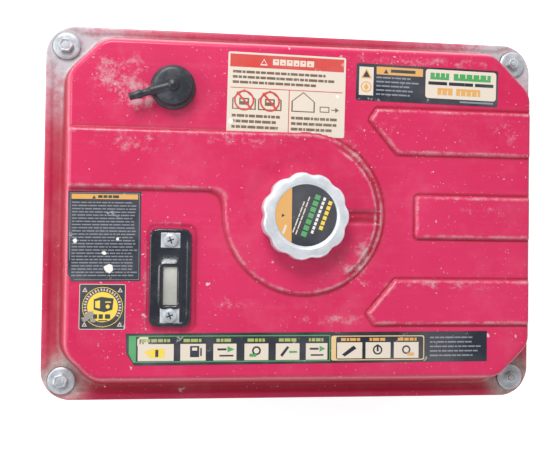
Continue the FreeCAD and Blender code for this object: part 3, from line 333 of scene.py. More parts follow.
def tankPaint():
    # crimson enamel: dust in patches, chips and rubbed paint where the sheet is raised, grime along
    # the rim; painted shade in hollows and on the sides away from the lamps, and a painted
    # highlight along the lit shoulders
    f = Finish("crimsonEnamel")
    cloud, blotch = f.noise(5.0, 4.0), f.noise(26.0, 6.0, 0.65)
    speck, grit = f.noise(330.0, 3.0, 0.6), f.noise(900.0, 2.0)
    streak = f.noise(30.0, 4.0, 0.7, stretch=(0.5, 6.0, 1.0))
    masks = ("wearAndHighlight", "low", "scuff", "rim", "shade", "pale")
    wearAndHighlight, low, scuff, rim, dark, pale = (f.mask(mask) for mask in masks)
    base = f.mix(cloud.between(0.3, 0.7), enamel["deep"], enamel["bright"])
    base = f.mix(dark.math("MINIMUM", 1.0) * 0.8, base, enamel["shade"])
    haze = blotch.between(0.5, 0.85) * 0.12 + streak.between(0.55, 0.8) * 0.05
    base = f.mix(haze, base, enamel["haze"])
    rough = f.noise(70.0, 10.0, 0.8)
    scuffAndHighlight = (scuff * 0.14 + rough).between(0.56, 0.70) * scuff.between(0.04, 0.35)
    # rubbed raised edges, together with the painted highlight along the lit shoulders and the gauge
    # seat's left rim
    worn = wearAndHighlight * (wearAndHighlight * 0.14 + rough).between(0.52, 0.68)
    scuffAndHighlight = (scuffAndHighlight * 0.75 + worn * 0.75).math("MINIMUM", 1.0)
    # rubbed paint and the painted highlight both turn the paint a pale pink
    base = f.mix(scuffAndHighlight, base, f.mix(cloud, enamel["rubbedAndLit"], enamel["rubbedAndLitPale"]))
    patch = f.noise(9.0, 3.0).between(0.42, 0.68)
    chips = (speck + patch * 0.045 + scuff * 0.05 + wearAndHighlight * 0.05).between(0.70, 0.73)
    larger = f.noise(95.0, 4.0, 0.6) + patch * 0.04 + scuff * 0.03 + wearAndHighlight * 0.03
    chips = (chips + larger.between(0.715, 0.735)).math("MINIMUM", 1.0)
    bare = f.mix(blotch.between(0.4, 0.6), enamel["chipPale"], enamel["chipDark"])
    base = f.mix(chips * 0.8, base, bare)
    grime = rim * blotch.between(0.30, 0.56) + low * grit.between(0.4, 0.8) * 0.08
    grime = grime.math("MINIMUM", 0.92)
    base = f.mix(grime, base, f.mix(rough.between(0.35, 0.65), enamel["dirt"], enamel["dustyDirt"]))
    base = f.mix((pale * rough.between(0.30, 0.56)).math("MINIMUM", 0.85), base, enamel["stain"])
    f.shader.inputs["Specular IOR Level"].default_value = enamel["specular"]
    coat = (enamel["coat"] - chips * 0.3 - dark * 0.3).math("MAXIMUM", 0.0)
    f.set(color=base, metal=0.0, coat=coat, coatRough=0.16)
    rougher = dark * 0.2 + haze * 0.5 + scuffAndHighlight * 0.35 + grime * 0.4 + chips * 0.3
    f.set(rough=enamel["rough"] + rougher)
    f.bump(chips * -0.5 + blotch * 0.12 + grit * 0.1, 0.0004, 0.5)
    return f.material


made = {name: plain(name, **look) for name, look in finishes.items()}
made["tank_paint"] = tankPaint()
for part in frame["record"]["subparts"]:
    node = frame["nodes"][part["node"]]
    node.data.materials.clear()
    node.data.materials.append(made[part["material_slot"]])
print("finishes made:", len(made))


# the pressed top of the tank
def ramp(value):
    value = np.clip(value, 0.0, 1.0)
    return value * value * (3 - 2 * value)


def softStart(value, width):
    bend = (value + width) ** 2 / (4 * width)
    return np.where(value < -width, 0.0, np.where(value > width, value, bend))


def polygonDistance(x, y, corners):
    # signed distance to a closed outline, negative inside
    distance = np.full(x.shape, 1e9)
    sign = np.ones(x.shape)
    for i, (ax, ay) in enumerate(corners):
        bx, by = corners[i - 1]
        ex, ey = bx - ax, by - ay
        wx, wy = x - ax, y - ay
        t = np.clip((wx * ex + wy * ey) / (ex * ex + ey * ey), 0, 1)
        distance = np.minimum(distance, (wx - ex * t) ** 2 + (wy - ey * t) ** 2)
        above = y >= ay
        under = y < by
        left = ex * wy > ey * wx
        flip = (above & under & left) | (~above & ~under & ~left)
        sign = np.where(flip, -sign, sign)
    return sign * np.sqrt(distance)


def shellPlan(inset):
    cx, cy = tank["shift"]
    halfX, halfY = tank["shellHalf"]
    right, left = cx + halfX - inset, cx - halfX + inset
    back, front = cy + halfY - inset, cy - halfY + inset
    near, far = (240 + 172 - math.sqrt(2) * (clear + inset) for clear in tank["boltClear"])
    return [(right, far - right), (far - back, back), (back - near, back), (left, near + left),
            (left, -near - left), (-near - front, front), (far + front, front),
            (right, right - far)]


def roundBox(x, y, halfX, halfY, r):
    qx, qy = np.abs(x) - halfX + r, np.abs(y) - halfY + r
    return np.minimum(np.maximum(qx, qy), 0) + np.hypot(np.maximum(qx, 0), np.maximum(qy, 0)) - r


def rimDistance(x, y):
    return roundBox(x, y, rimX, rimY, tank["rimCorner"])


def smoothUnion(a, b, k):
    blend = np.maximum(k - np.abs(a - b), 0) / k
    return np.minimum(a, b) - blend * blend * k / 4


def tankSurface(x, y):
    # height above the rim, and the masks that the paint reads
    t = tank
    inside = -(polygonDistance(x, y, shellPlan(t["corner"])) - t["corner"])
    tall = shellTop - deck
    slope = tall / t["run"]
    wall = slope * (softStart(inside, t["base"]) - softStart(inside - t["run"], t["shoulder"]))
    fromDisc = np.hypot(x - t["disc"][0], y - t["disc"][1])
    low, high = t["band"]
    bandRect = np.maximum(np.maximum(low - y, y - high), x - t["disc"][0])
    raised = smoothUnion(fromDisc - t["discRadius"], bandRect, t["bandBlend"])
    raised = np.where(y > t["backRow"], np.minimum(fromDisc - t["discRadius"], bandRect), raised)
    row, half = t["padRow"], t["padHalf"]
    right = t["padEnd"]
    for sign in (1, -1):
        shape = [(78, sign * (row + half - 1.5)), (72, sign * (row + half / 2)),
                 (100, sign * (row - half)), (right, sign * (row - half)),
                 (right, sign * (row + half - 1.5))]
        if sign < 0:
            shape = [(px - 1, py) for px, py in shape]
        raised = np.minimum(raised, polygonDistance(x, y, shape) - 1.5)
    middle = [(122, -half + 3.5), (122, half - 3.5), (right, half - 3.5), (right, -half + 3.5)]
    raised = np.minimum(raised, polygonDistance(x, y, middle) - 3)
    lift = relief * ramp(0.5 - raised / t["step"])
    dish = ramp((t["dishRadius"] - fromDisc) / t["dishFade"])
    lift -= t["dishDepth"] * dish
    # a gutter rings the disc's right half, inside a low bead; a drain runs into it from the cap
    angle = np.degrees(np.arctan2(y - t["disc"][1], x - t["disc"][0]))
    gutter = ramp((t["gutterSpan"] - np.abs(angle - t["gutterMiddle"])) / 14)
    trough = np.exp(-(np.abs(fromDisc - t["gutterAt"]) / t["gutterHalf"]) ** 4)
    bead = t["beadDrop"] * ramp((fromDisc - t["gutterAt"]) / 3) * (raised < 2)
    lift -= gutter * (t["gutterDepth"] * trough + bead)
    drain = ramp((t["drainHalf"] - np.abs(y - t["drainAt"])) / 3.6)
    drain = drain * ramp((fromDisc - t["capRing"]) / 5) * (x > 0)
    drain = drain * ramp((t["gutterAt"] + 2.5 - fromDisc) / 2.5)
    crease = 0.8 * np.exp(-((y - t["drainAt"]) / 1.6) ** 2)
    lift -= drain * (t["gutterDepth"] - crease) * (1 - gutter * trough)
    edge = ramp((inside - t["run"] + 1.5) / 5.0)
    wave = (np.sin(x / 31 + 1.3) * np.cos(y / 27 - 0.4) + 0.7 * np.sin(x / 57 - y / 41)
            + 0.35 * np.sin(x / 13 + y / 17)) * t["wave"]
    for left, right, front, back in t["flats"]:
        gap = np.maximum(np.maximum(left - x, x - right), np.maximum(front - y, y - back))
        wave = wave * ramp(gap / 9.0)
    rimIn = -rimDistance(x, y)
    nearBolt = np.min([np.hypot(x - bx, y - by) for bx, by in bolts], axis=0)
    hem = t["hem"] * ramp((t["hemWide"] - rimIn) / 2.0) * ramp((nearBolt - 17) / 6)
    height = wall + lift * edge + wave * edge + hem
    # rubbed paint on raised edges, the gutter's inner rim and the drain's edges
    wearAndHighlight = 0.85 * np.exp(-((raised + 1.8) / 1.7) ** 2) * edge
    wearAndHighlight += gutter * 1.1 * np.exp(-((fromDisc - t["gutterAt"] + 4.4) / 1.5) ** 2) * edge
    wearAndHighlight += 0.7 * (drain > 0.05) * (drain < 0.5)
    # painted highlight: a pale line along the wall's shoulder, only on the left and back, the sides
    # that face the lamps
    bright = (0.1 * (x < t["rightEnd"]) + 0.25 * (x < 0)) * (y > t["frontRow"] - 10)
    wearAndHighlight += bright * np.exp(-((inside - t["run"] + 1) / 2.0) ** 2)
    shade = np.exp(-((raised - 1.7) / 1.3) ** 2) * edge
    shade += 0.8 * np.exp(-((inside - 1.2) / 2.2) ** 2)
    shade += 0.8 * gutter * trough + 0.7 * drain + 0.5 * np.exp(-((inside - 4) / 5.0) ** 2)
    flange = np.clip(1 - inside, 0, 1)
    shade += flange * ramp((rimIn - 6.5) / 2) * np.where(y < t["frontRow"], 0.6, 0.35)
    shoulder = np.exp(-((inside - t["run"]) / 3.0) ** 2)
    shade += 0.4 * np.maximum(y < t["frontRow"], x > t["rightEnd"]) * shoulder
    wallBand = ramp((inside + 1) / 2) * ramp((t["run"] - 1 - inside) / 4)
    shade += wallBand * (0.45 + 0.5 * (y < t["frontRow"]) + 0.3 * (x < -t["rightEnd"]))
    shade += 0.9 * (x > t["rightEnd"]) * np.exp(-((inside - 4) / 7.0) ** 2)
    pale = ramp((y - 60) / 60) * np.clip(1 - inside / 3.0, 0, 1)
    pale = pale * np.exp(-np.maximum(nearBolt - 26, 0) / 55)
    shade += 0.35 * flange
    plate = roundBox(x - t["seatAt"][0], y - t["seatAt"][1], *t["seatHalf"], t["seatCorner"])
    height = height - t["seatDepth"] * ramp(0.5 - plate / 2.6) * edge
    # the gauge seat: a painted highlight on its left rim, and painted shade inside its right side
    wearAndHighlight += 0.6 * np.exp(-((plate - 1.4) / 1.2) ** 2) * (x < -120)
    shade += 0.7 * np.exp(-((plate + 1) / 1.6) ** 2) * (x > -120)
    lowSpots = np.exp(-((raised - 3.5) / 4.0) ** 2) * edge * 0.6 + np.exp(-(inside / 5.0) ** 2)
    roundBolts = 1.2 * np.exp(-((nearBolt - 10) / 15) ** 2)
    rimMask = np.clip(1 - inside / 3.0, 0, 1) * (0.02 + roundBolts + 0.05 * (x < -240))
    fade = np.exp(-np.maximum(nearBolt - 24, 0) / 22)
    rimMask += 0.6 * np.exp(-((inside + 1) / 1.6) ** 2) * fade
    scuff = np.zeros(x.shape)
    for sx, sy, wide, deep, much in t["scuffs"]:
        scuff += much * np.exp(-(((x - sx) / wide) ** 2 + ((y - sy) / deep) ** 2))
    masks = {"wearAndHighlight": np.clip(wearAndHighlight, 0, 1), "shade": np.clip(shade, 0, 1),
             "low": np.clip(lowSpots, 0, 1), "rim": np.clip(rimMask, 0, 1),
             "scuff": np.clip(scuff, 0, 1) * edge, "pale": pale}
    return height, masks


def makeTankTop():
    step = tank["spacing"]
    xs = np.linspace(-rimX - 1, rimX + 1, int(2 * rimX / step) + 2)
    ys = np.linspace(-rimY - 1, rimY + 1, int(2 * rimY / step) + 2)
    x, y = np.meshgrid(xs, ys, indexing="ij")
    # points just past the outline are pulled back onto it, and so are those at the neck's edge
    for _ in range(3):
        d = rimDistance(x, y)
        gx = (rimDistance(x + 0.01, y) - d) / 0.01
        gy = (rimDistance(x, y + 0.01) - d) / 0.01
        near = (np.abs(d) < step * 0.75) | (d > 0)
        x, y = np.where(near, x - gx * d, x), np.where(near, y - gy * d, y)
    nx, ny = tank["neck"]
    fromNeck = np.hypot(x - nx, y - ny)
    atNeck = np.abs(fromNeck - tank["neckRadius"]) < step * 0.75
    scale = np.where(atNeck, tank["neckRadius"] / np.maximum(fromNeck, 1e-6), 1.0)
    x, y = nx + (x - nx) * scale, ny + (y - ny) * scale
    height, masks = tankSurface(x, y)
    rows, columns = x.shape
    index = np.arange(rows * columns).reshape(rows, columns)
    corners = [index[:-1, :-1], index[1:, :-1], index[1:, 1:], index[:-1, 1:]]
    quads = np.stack(corners, -1).reshape(-1, 4)
    flatX, flatY = x.ravel(), y.ravel()
    middleX, middleY = flatX[quads].mean(1), flatY[quads].mean(1)
    outsideNeck = np.hypot(middleX - nx, middleY - ny) > tank["neckRadius"] + 0.05
    kept = (rimDistance(middleX, middleY) < -0.05) & outsideNeck
    px, py = flatX[quads], flatY[quads]
    area = np.abs((px[:, 2] - px[:, 0]) * (py[:, 3] - py[:, 1])
                  - (px[:, 3] - px[:, 1]) * (py[:, 2] - py[:, 0]))
    quads = quads[kept & (area > 0.05)]
    used, quads = np.unique(quads, return_inverse=True)
    quads = quads.reshape(-1, 4)
    points = np.stack([flatX, flatY, height.ravel() + deck], -1)[used] * mm
    faces = [tuple(q) for q in quads.tolist()]
    top = addMesh("tankTop", points.tolist(), faces, "frame")
    mesh = top.data
    for name, mask in masks.items():
        layer = mesh.attributes.new(name, "FLOAT", "POINT")
        layer.data.foreach_set("value", mask.ravel()[used].astype(np.float32))
    # the rim's lip turns down, and the neck's edge too
    work = bmesh.new()
    work.from_mesh(mesh)
    for drop, out in tank["lip"]:
        edges = [edge for edge in work.edges if edge.is_boundary]
        grown = bmesh.ops.extrude_edge_only(work, edges=edges)
        for vert in (g for g in grown["geom"] if isinstance(g, bmesh.types.BMVert)):
            vx, vy = vert.co.xy
            if vert.co.xy.length > 0.1:
                side = 1
                beyond = [max(abs(v) - start, 0) for v, start in zip((vx, vy), tank["lipFrom"])]
                away = Vector((math.copysign(beyond[0], vx), math.copysign(beyond[1], vy), 0))
            else:
                side = -1
                away = Vector((vx - nx * mm, vy - ny * mm, 0))
            if away.length > 0:
                vert.co += away.normalized() * out * side * mm
            vert.co.z -= drop * mm
    bmesh.ops.recalc_face_normals(work, faces=work.faces)
    for face in work.faces:
        face.smooth = True
    work.to_mesh(mesh)
    work.free()
    mesh.materials.append(made["tank_paint"])
    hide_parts("tank_upper_shell")
    print("tank top:", len(mesh.vertices), "points")
    return top


def topAt(x, y):
    # height of the pressed top in mm at one spot
    height, _ = tankSurface(np.array([float(x)]), np.array([float(y)]))
    return deck + float(height[0])


makeTankTop()

# filler cap
cap = {"at": (1.5, -1.5), "lobes": 11, "radius": 44.0, "lobeDepth": 2.7, "label": 30.5}


def makeCap():
    low, high = (corner.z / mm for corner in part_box("fuel_cap"))
    tall = high - low

    def lobe(angle, radius, height):
        strength = ramp(np.array((radius - 33) / 8.0)).item()
        fall = 1 - 0.35 * max(0.0, (height - tall + 8) / 8)
        wave = (0.5 - 0.5 * math.cos(angle * cap["lobes"])) ** 1.8
        return -cap["lobeDepth"] * strength * fall * wave

    r = cap["radius"] - 0.4
    profile = [(36, 1.0), (r - 1.5, 0), (r - 0.4, 0.6), (r, 1.8), (r - 0.1, tall - 5),
               (r - 0.5, tall - 3.2), (r - 1.5, tall - 1.9), (r - 3.0, tall - 1.2),
               (r - 6.0, tall - 0.8), (33.6, tall - 0.5), (32.6, tall - 0.6), (32.0, tall - 1.3),
               (31.2, tall - 1.8), (0.01, tall - 1.8)]
    points, faces, rings = lathe(profile, 264, lobe)
    inner = [(36, 1.0), (36, tall - 3.4), (0.01, tall - 3.4)]
    more = lathe(inner, 264)
    points, faces = joined([(points, faces), more[:2]])
    shell = addMesh("capShell", placed(points, (*cap["at"], low)), faces, "fuel_cap")
    shell.data.materials.append(made["cap_metal"])
    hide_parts("fuel_cap")
    return high - 1.8


capFace = makeCap()


# stickers, printed in flat inks
def stickerFinish(name, color, wear=0.5, rough=0.4):
    f = Finish(name)
    scratch, fine = f.noise(60.0, 6.0, 0.7), f.noise(420.0, 3.0)
    worn = (scratch + fine * 0.2).between(0.74, 0.78) * wear
    paler = tuple(min(1.0, c * 0.8 + 0.12) for c in color)
    base = f.mix(f.noise(18.0, 4.0).between(0.35, 0.7) * 0.6, color, paler)
    f.set(color=f.mix(worn, base, (0.66, 0.62, 0.60)),
          rough=f.noise(30.0, 3.0) * 0.2 + rough - 0.1 + worn * 0.2)
    f.bump(f.noise(90.0, 3.0), 0.00012, 0.6)
    return f.material


inks = {
    "cream": (0.72, 0.63, 0.53), "signalRed": (0.60, 0.05, 0.04), "black": (0.012, 0.015, 0.028),
    "orange": (0.70, 0.36, 0.09), "olive": (0.36, 0.42, 0.12), "grey": (0.22, 0.24, 0.28),
    "green": (0.06, 0.34, 0.10), "yellow": (0.85, 0.62, 0.05), "white": (0.80, 0.79, 0.76),
    "brown": (0.16, 0.10, 0.06), "rose": (0.66, 0.50, 0.45), "worn": (0.30, 0.27, 0.24),
    "ochre": (0.75, 0.52, 0.25),
}
inked = {name: stickerFinish(name + "Print", color) for name, color in inks.items()}
inked["chip"] = stickerFinish("bareChip", (0.80, 0.77, 0.73), 0.2, 0.6)


def onSticker(corner, turn, point, lift):
    # sticker coordinates in mm, x right and y down from the sticker's top left corner
    c, s = math.cos(math.radians(turn)), math.sin(math.radians(turn))
    x = corner[0] + point[0] * c + point[1] * s
    y = corner[1] + point[0] * s - point[1] * c
    return Vector((x, y, shellTop + lift)) * mm


def levels(layers):
    # how many printed layers lie under each one
    spans, found = [], []
    for _, outline in layers:
        xs, ys = [p[0] for p in outline], [p[1] for p in outline]
        span = (min(xs), max(xs), min(ys), max(ys))
        under = [lv for other, lv in zip(spans, found)
                 if other[0] < span[1] and span[0] < other[1] and other[2] < span[3]
                 and span[2] < other[3]]
        spans.append(span)
        found.append(max(under) + 1 if under else 0)
    return found


printing = {"lift": 0.2, "layer": 0.06, "labelLift": 0.12}


def printed(name, layers, place, body):
    # layers are (ink, outline) in the order that they are printed; place puts a point at a level
    points, faces, slots, names = [], [], [], []
    for level, (ink, outline) in zip(levels(layers), layers):
        if ink not in names:
            names.append(ink)
        start = len(points)
        points += [place(p, level) for p in outline]
        faces.append(tuple(range(start, len(points)))[::-1])
        slots.append(names.index(ink))
    sheet = addMesh(name, points, faces, body, smooth=False)
    for ink in names:
        sheet.data.materials.append(inked[ink])
    for polygon, slot in zip(sheet.data.polygons, slots):
        polygon.material_index = slot
        if polygon.normal.z < 0:
            polygon.flip()
    return sheet


def sticker(name, corner, turn, layers):
    def place(point, level):
        return onSticker(corner, turn, point, printing["lift"] + printing["layer"] * level)

    return printed(name, layers, place, "frame")


def box(x, y, wide, tall):
    return [(x, y), (x + wide, y), (x + wide, y + tall), (x, y + tall)]


def round_(x, y, wide, tall, r=2.0):
    outline = []
    for cx, cy, start in ((x + wide - r, y + r, -90), (x + wide - r, y + tall - r, 0),
                          (x + r, y + tall - r, 90), (x + r, y + r, 180)):
        for k in range(5):
            a = math.radians(start + k * 22.5)
            outline.append((cx + r * math.cos(a), cy + r * math.sin(a)))
    return outline


def circle(x, y, r, sides=28):
    return [(x + r * math.cos(2 * math.pi * k / sides), y + r * math.sin(2 * math.pi * k / sides))
            for k in range(sides)]


def ring(x, y, r, thick, sides=28):
    # a band that is cut open at one side, so that one outline draws it
    inner = circle(x, y, r - thick, sides)[::-1]
    return circle(x, y, r, sides) + [(x + r, y), (x + r - thick, y)] + inner


def lines(ink, x, y, wide, rows, gap, thick, seed, ragged=0.25):
    # ragged bars that stand for rows of small print
    draw = np.random.default_rng(seed)
    bars = []
    for row in range(rows):
        at = x
        end = x + wide * (1 - ragged * draw.random())
        while at < end - 2:
            length = min(2.0 + 7.0 * draw.random(), end - at)
            bars.append((ink, box(at, y + row * gap, length, thick)))
            at += length + 0.9
    return bars


def blobs(ink, spots, seed, sides, least, flat=1.0):
    # torn patches with a ragged outline; the two random draws are made in turn for each point
    draw = np.random.default_rng(seed)
    patches = []
    for x, y, r in spots:
        outline = []
        for a in np.linspace(0, 2 * math.pi, sides + 1)[:-1]:
            across = x + r * (least + 0.7 * draw.random()) * math.cos(a)
            outline.append((across, y + flat * r * (least + 0.7 * draw.random()) * math.sin(a)))
        patches.append((ink, outline))
    return patches


def triangle(x, y, size):
    return [(x, y - size), (x + size * 0.95, y + size * 0.7), (x - size * 0.95, y + size * 0.7)]


def house(x, y, s):
    return [(x - s, y + s * 0.8), (x - s, y - s * 0.1), (x, y - s * 0.9), (x + s, y - s * 0.1),
            (x + s, y + s * 0.8)]


def makeStickers():
    # danger notice: red head on cream, four pictograms in boxes
    w, t = 120, 82
    layers = [("cream", round_(0, 0, w, t, 2)), ("signalRed", box(2, 2, w - 4, 13)),
              ("cream", triangle(36, 9.6, 4)), ("signalRed", triangle(36, 9.4, 2.4)),
              ("cream", box(45, 5.5, 42, 6))]
    layers += [("signalRed", box(51.2 + i * 6.9, 5.5, 0.9, 6)) for i in range(5)]
    layers += [("signalRed", box(47.6 + i * 6.9, 7.0 + i % 2 * 1.6, 1.7, 1.4)) for i in range(6)]
    layers += lines("brown", 5, 18.5, 108, 3, 5.2, 2.6, 1)
    layers += [("signalRed", box(3, 35.5, w - 6, 0.8)),
               ("signalRed", box(w / 2 + 2, 35.5, 0.8, t - 38))]
    for i, x in enumerate((17, 43, 77)):
        layers += [("brown", house(x, 48, 12)), ("cream", house(x, 48, 10.6))]
        if i < 2:
            layers += [("brown", box(x - 5, 46, 10, 7)), ("cream", box(x - 3.5, 47.5, 7, 2)),
                       ("signalRed", ring(x, 48.5, 10.2, 1.7)),
                       ("signalRed", [(x - 8, 41), (x - 6.6, 39.7), (x + 8, 56), (x + 6.6, 57.3)])]
    layers += [("brown", box(94, 51, 10, 6)), ("cream", box(95, 52, 8, 4)),
               ("brown", box(106, 53.6, 5, 1)), ("brown", [(110, 51.6), (114, 54.1), (110, 56.6)])]
    layers += lines("brown", 5, 62.5, 52, 3, 5.6, 2.8, 2)
    layers += lines("brown", 65, 62.5, 50, 3, 5.6, 2.8, 3)
    layers += [("chip", circle(112, 40, 2.2, 7)), ("chip", circle(4, 70, 3.0, 6)),
               ("chip", circle(88, 78, 1.8, 6))]
    sticker("dangerSticker", (-75.5, 163.0), -0.9, layers)

    # fuel notice: black with a cream panel
    w, t = 151, 38
    layers = [("black", round_(0, 0, w, t, 2)), ("cream", box(3, 3.5, 15, 29)),
              ("orange", triangle(10.5, 11, 6)), ("black", triangle(10.5, 11.2, 4)),
              ("orange", circle(10.5, 24, 5.6)), ("cream", circle(10.5, 24, 4.4)),
              ("orange", [(10.5, 20), (13, 24.5), (10.5, 28), (8, 24.5)]),
              ("orange", box(21, 2.5, 49, 8)), ("black", triangle(31, 7.4, 2.6)),
              ("black", box(36, 4.8, 26, 3.2))]
    layers += lines("grey", 21, 12.8, 47, 5, 4.3, 1.6, 4)
    layers += [("cream", round_(73, 2, 76, 30, 3)), ("green", box(78, 5.5, 20, 7)),
               ("green", box(103, 5.5, 40, 7)), ("black", box(76, 14.6, 70, 3.4)),
               ("cream", box(96, 14.2, 2, 4.2)), ("cream", box(124, 14.2, 2, 4.2)),
               ("orange", box(86, 21, 16, 7.2)), ("orange", box(106, 21, 26, 7.2)),
               ("grey", box(110, 33.6, 36, 1.8))]
    layers += [("cream", box(82.5 + i * 5.5, 5.5, 1.1, 4.4)) for i in range(3)]
    layers += [("cream", box(108 + i * 7.5, 5.5, 1.3, 4.4)) for i in range(5)]
    layers += [("cream", box(90 + i * 6, 23.4, 1.2, 4.8)) for i in range(2)]
    layers += [("cream", box(110 + i * 6, 23.4, 1.2, 4.8)) for i in range(4)]
    sticker("fuelSticker", (55.5, 156.6), -1.0, layers)

    # tall warning at the left, worn through at its lower corner
    w, t = 70, 88.5
    outline = [(0, 0), (w, 0), (w, t - 0.6), (3.4, t), (2.2, t - 3.5), (0, t - 7)]
    layers = [("black", outline), ("grey", box(1.5, 1.4, 67, 0.5)),
              ("grey", box(1.5, 1.4, 0.5, 66)), ("grey", box(68, 1.4, 0.5, 85.5)),
              ("grey", box(6, t - 2.2, 62, 0.5)), ("orange", box(3, 2.8, 64, 5.0)),
              ("black", triangle(24.5, 6.0, 1.9))]
    layers += lines("black", 28.5, 4.0, 20, 1, 3, 2.6, 51, 0.0)
    layers += lines("grey", 3.5, 10.6, 63, 24, 3.1, 1.1, 5, 0.08)
    spots = ((6.5, 48.5, 2.6), (34.5, 60.5, 2.4), (39, 75.5, 4.6), (47.5, 47, 1.7))
    layers += blobs("chip", spots, 8, 9, 0.6)
    sticker("warningSticker", (-229.5, 20.0), 0.4, layers)

    # square sign with a yellow disc
    w = 44.5
    layers = [("rose", round_(0, 0, w, w, 1.8)), ("black", round_(0.7, 0.7, w - 1.4, w - 1.4, 1.3)),
              ("yellow", circle(22.5, 22.5, 19.6)), ("black", circle(22.5, 22.5, 19.0)),
              ("yellow", circle(22.5, 22.5, 14.8))]
    for k in range(26):
        a = math.radians(150 + k * 240 / 25)
        c, s = math.cos(a), math.sin(a)
        mark = [(-1.3, -0.7 - k % 3 * 0.1), (1.3, -0.7), (1.3, 0.7 - k % 2 * 0.5), (-1.3, 0.9)]
        layers.append(("rose", [(22.5 + 16.9 * c + px * c - py * s,
                                 22.5 + 16.9 * s + px * s + py * c) for px, py in mark]))
    layers += [("black", [(14, 15), (21, 12.5), (33, 14), (32, 25), (24, 27.5), (14, 25)]),
               ("yellow", [(15.5, 16.8), (20, 15.8), (20, 24), (15.5, 23)]),
               ("yellow", box(25, 17, 5.5, 1.2)), ("yellow", circle(27.5, 22, 2.0, 12)),
               ("black", box(13.5, 29.5, 4.0, 4.4)), ("black", box(19.0, 29.5, 4.0, 4.4)),
               ("black", box(25.0, 29.5, 5.0, 4.4)), ("black", box(18.5, 35.2, 9, 1.1))]
    layers += [("rose", triangle(x, y, 2.7)) for x in (5.4, 39.2) for y in (6.0, 39.6)]
    layers += [("black", triangle(x, y + 0.3, 1.1)) for x in (5.4, 39.2) for y in (6.0, 39.6)]
    spots = ((9.5, 31.5, 5.2), (5.5, 34.5, 3.4), (13.5, 35.5, 3.0), (12, 28, 2.6))
    layers += blobs("worn", spots, 12, 14, 0.55, 0.7)
    sticker("distanceSticker", (-217.5, -70.5), -0.2, layers)

    # row of operating pictograms along the front
    w, t = 369, 31
    outline = [(0, 0), (w, -1.2), (w, t - 1), (8.5, t + 0.5), (0.6, t - 12)]
    layers = [("black", outline), ("green", box(9, 2.2, 195, 26.3)),
              ("black", box(10, 3.2, 193, 24.3)),
              ("green", [(3.2, 2.2), (10.2, 2.2), (10.2, 28.5), (7.6, 28.5), (3.2, 20)]),
              ("cream", [(11.4, 6), (14, 3.4), (22, 3.4), (22, 12), (11.4, 12)]),
              ("brown", box(13.6, 5.4, 1.2, 19)), ("brown", box(16.4, 5.4, 1.2, 19))]
    for i, x in enumerate((12, 53.5, 86, 117, 148.5, 179)):
        wide = (37, 27, 25, 26, 26, 24)[i]
        layers += [("cream", box(x, 10.4, wide - 2, 16.6)),
                   *lines("olive", x + 3, 5.4, wide - 8, 1, 3, 3.2, 20 + i, 0.05)]
    layers += [("yellow", [(18, 18), (27, 15), (38, 15), (38, 24), (24, 24)]),
               ("black", box(29, 16, 3, 7)), ("black", box(63, 12.5, 9, 11)),
               ("cream", box(65, 14, 5, 3)), ("black", box(73, 14.5, 1.6, 8)),
               ("black", box(90, 15, 9, 2)), ("green", [(100, 13), (107, 16), (100, 19)]),
               ("black", box(92, 21.5, 14, 1.6)), ("black", circle(129, 17.5, 4.5, 14)),
               ("cream", circle(129, 17.5, 2.8, 14)), ("green", box(122, 20.5, 7, 3)),
               ("black", [(153, 22), (160, 13), (162, 14.6), (155, 24)]),
               ("green", box(162, 18, 8, 2)), ("black", box(183, 15, 9, 2)),
               ("green", [(193, 13), (199, 16), (193, 19)]), ("black", box(184, 21.5, 13, 1.6))]
    layers += [("ochre", round_(205, 3.0, 97, 25)), ("black", round_(210, 4, 91, 23))]
    for i, x in enumerate((211, 240.5, 270)):
        layers += [("cream", box(x, 9.8, 26, 16.2)),
                   *lines("orange", x + 4, 5.4, 20, 1, 3, 3.0, 30 + i, 0.05)]
    layers += [("black", [(216, 22), (228, 13), (231, 16), (219, 24)]),
               ("black", circle(253, 17.5, 5, 14)), ("cream", circle(253, 17.5, 3.4, 14)),
               ("black", box(252, 12, 2, 7)), ("black", circle(283, 17.5, 4.5, 14)),
               ("cream", circle(283, 17.5, 2.8, 14)), ("orange", box(284, 20.5, 7, 3)),
               ("black", box(306, 2, 60, 25))]
    layers += lines("grey", 308, 4.5, 55, 5, 4.6, 1.5, 6)
    sticker("operationSticker", (-172.5, -119.0), 0.15, layers)


def capLabel():
    radius = cap["label"]
    layers = [("black", circle(0, 0, radius, 56))]
    chord = []
    for k in range(17):
        a = math.radians(118 + k * 124 / 16)
        chord.append((radius * math.cos(a), radius * math.sin(a)))
    layers.append(("orange", chord))
    layers.append(("black", circle(-23.2, 0.5, 2.1, 3)))
    c, s = math.cos(math.radians(-70)), math.sin(math.radians(-70))

    def turned(outline, x, y):
        return [(x + px * c - py * s, y + px * s + py * c) for px, py in outline]

    layers.append(("cream", turned(box(-21, -5.2, 9, 2.4), -12, 0)))
    for ink, x, wide, tall in (("cream", -7, 36, 1.2), ("cream", -3.4, 40, 1.2)):
        for piece in lines(ink, -wide / 2, -tall / 2, wide, 1, 4, tall, int(40 + x), 0.1):
            layers.append((piece[0], turned(piece[1], x, 0)))
    for i in range(7):
        layers.append(("green", turned(box(-22 + i * 6.4, -2.6, 4.9, 5.4), 4.5, 0)))
    for i in range(9):
        layers.append(("white", turned(box(-19 + i * 4.3, -1.4, 3.2, 2.6), 12.2, 0)))
    for i in range(6):
        layers.append(("yellow", turned(box(-15 + i * 5.2, -1.9, 3.9, 3.8), 19.2, 0)))

    def place(point, level):
        height = capFace + printing["labelLift"] + printing["layer"] * level
        return Vector((cap["at"][0] + point[0], cap["at"][1] - point[1] + 0.8, height)) * mm

    printed("capLabel", layers, place, "fuel_cap")


makeStickers()
capLabel()
print("stickers made")

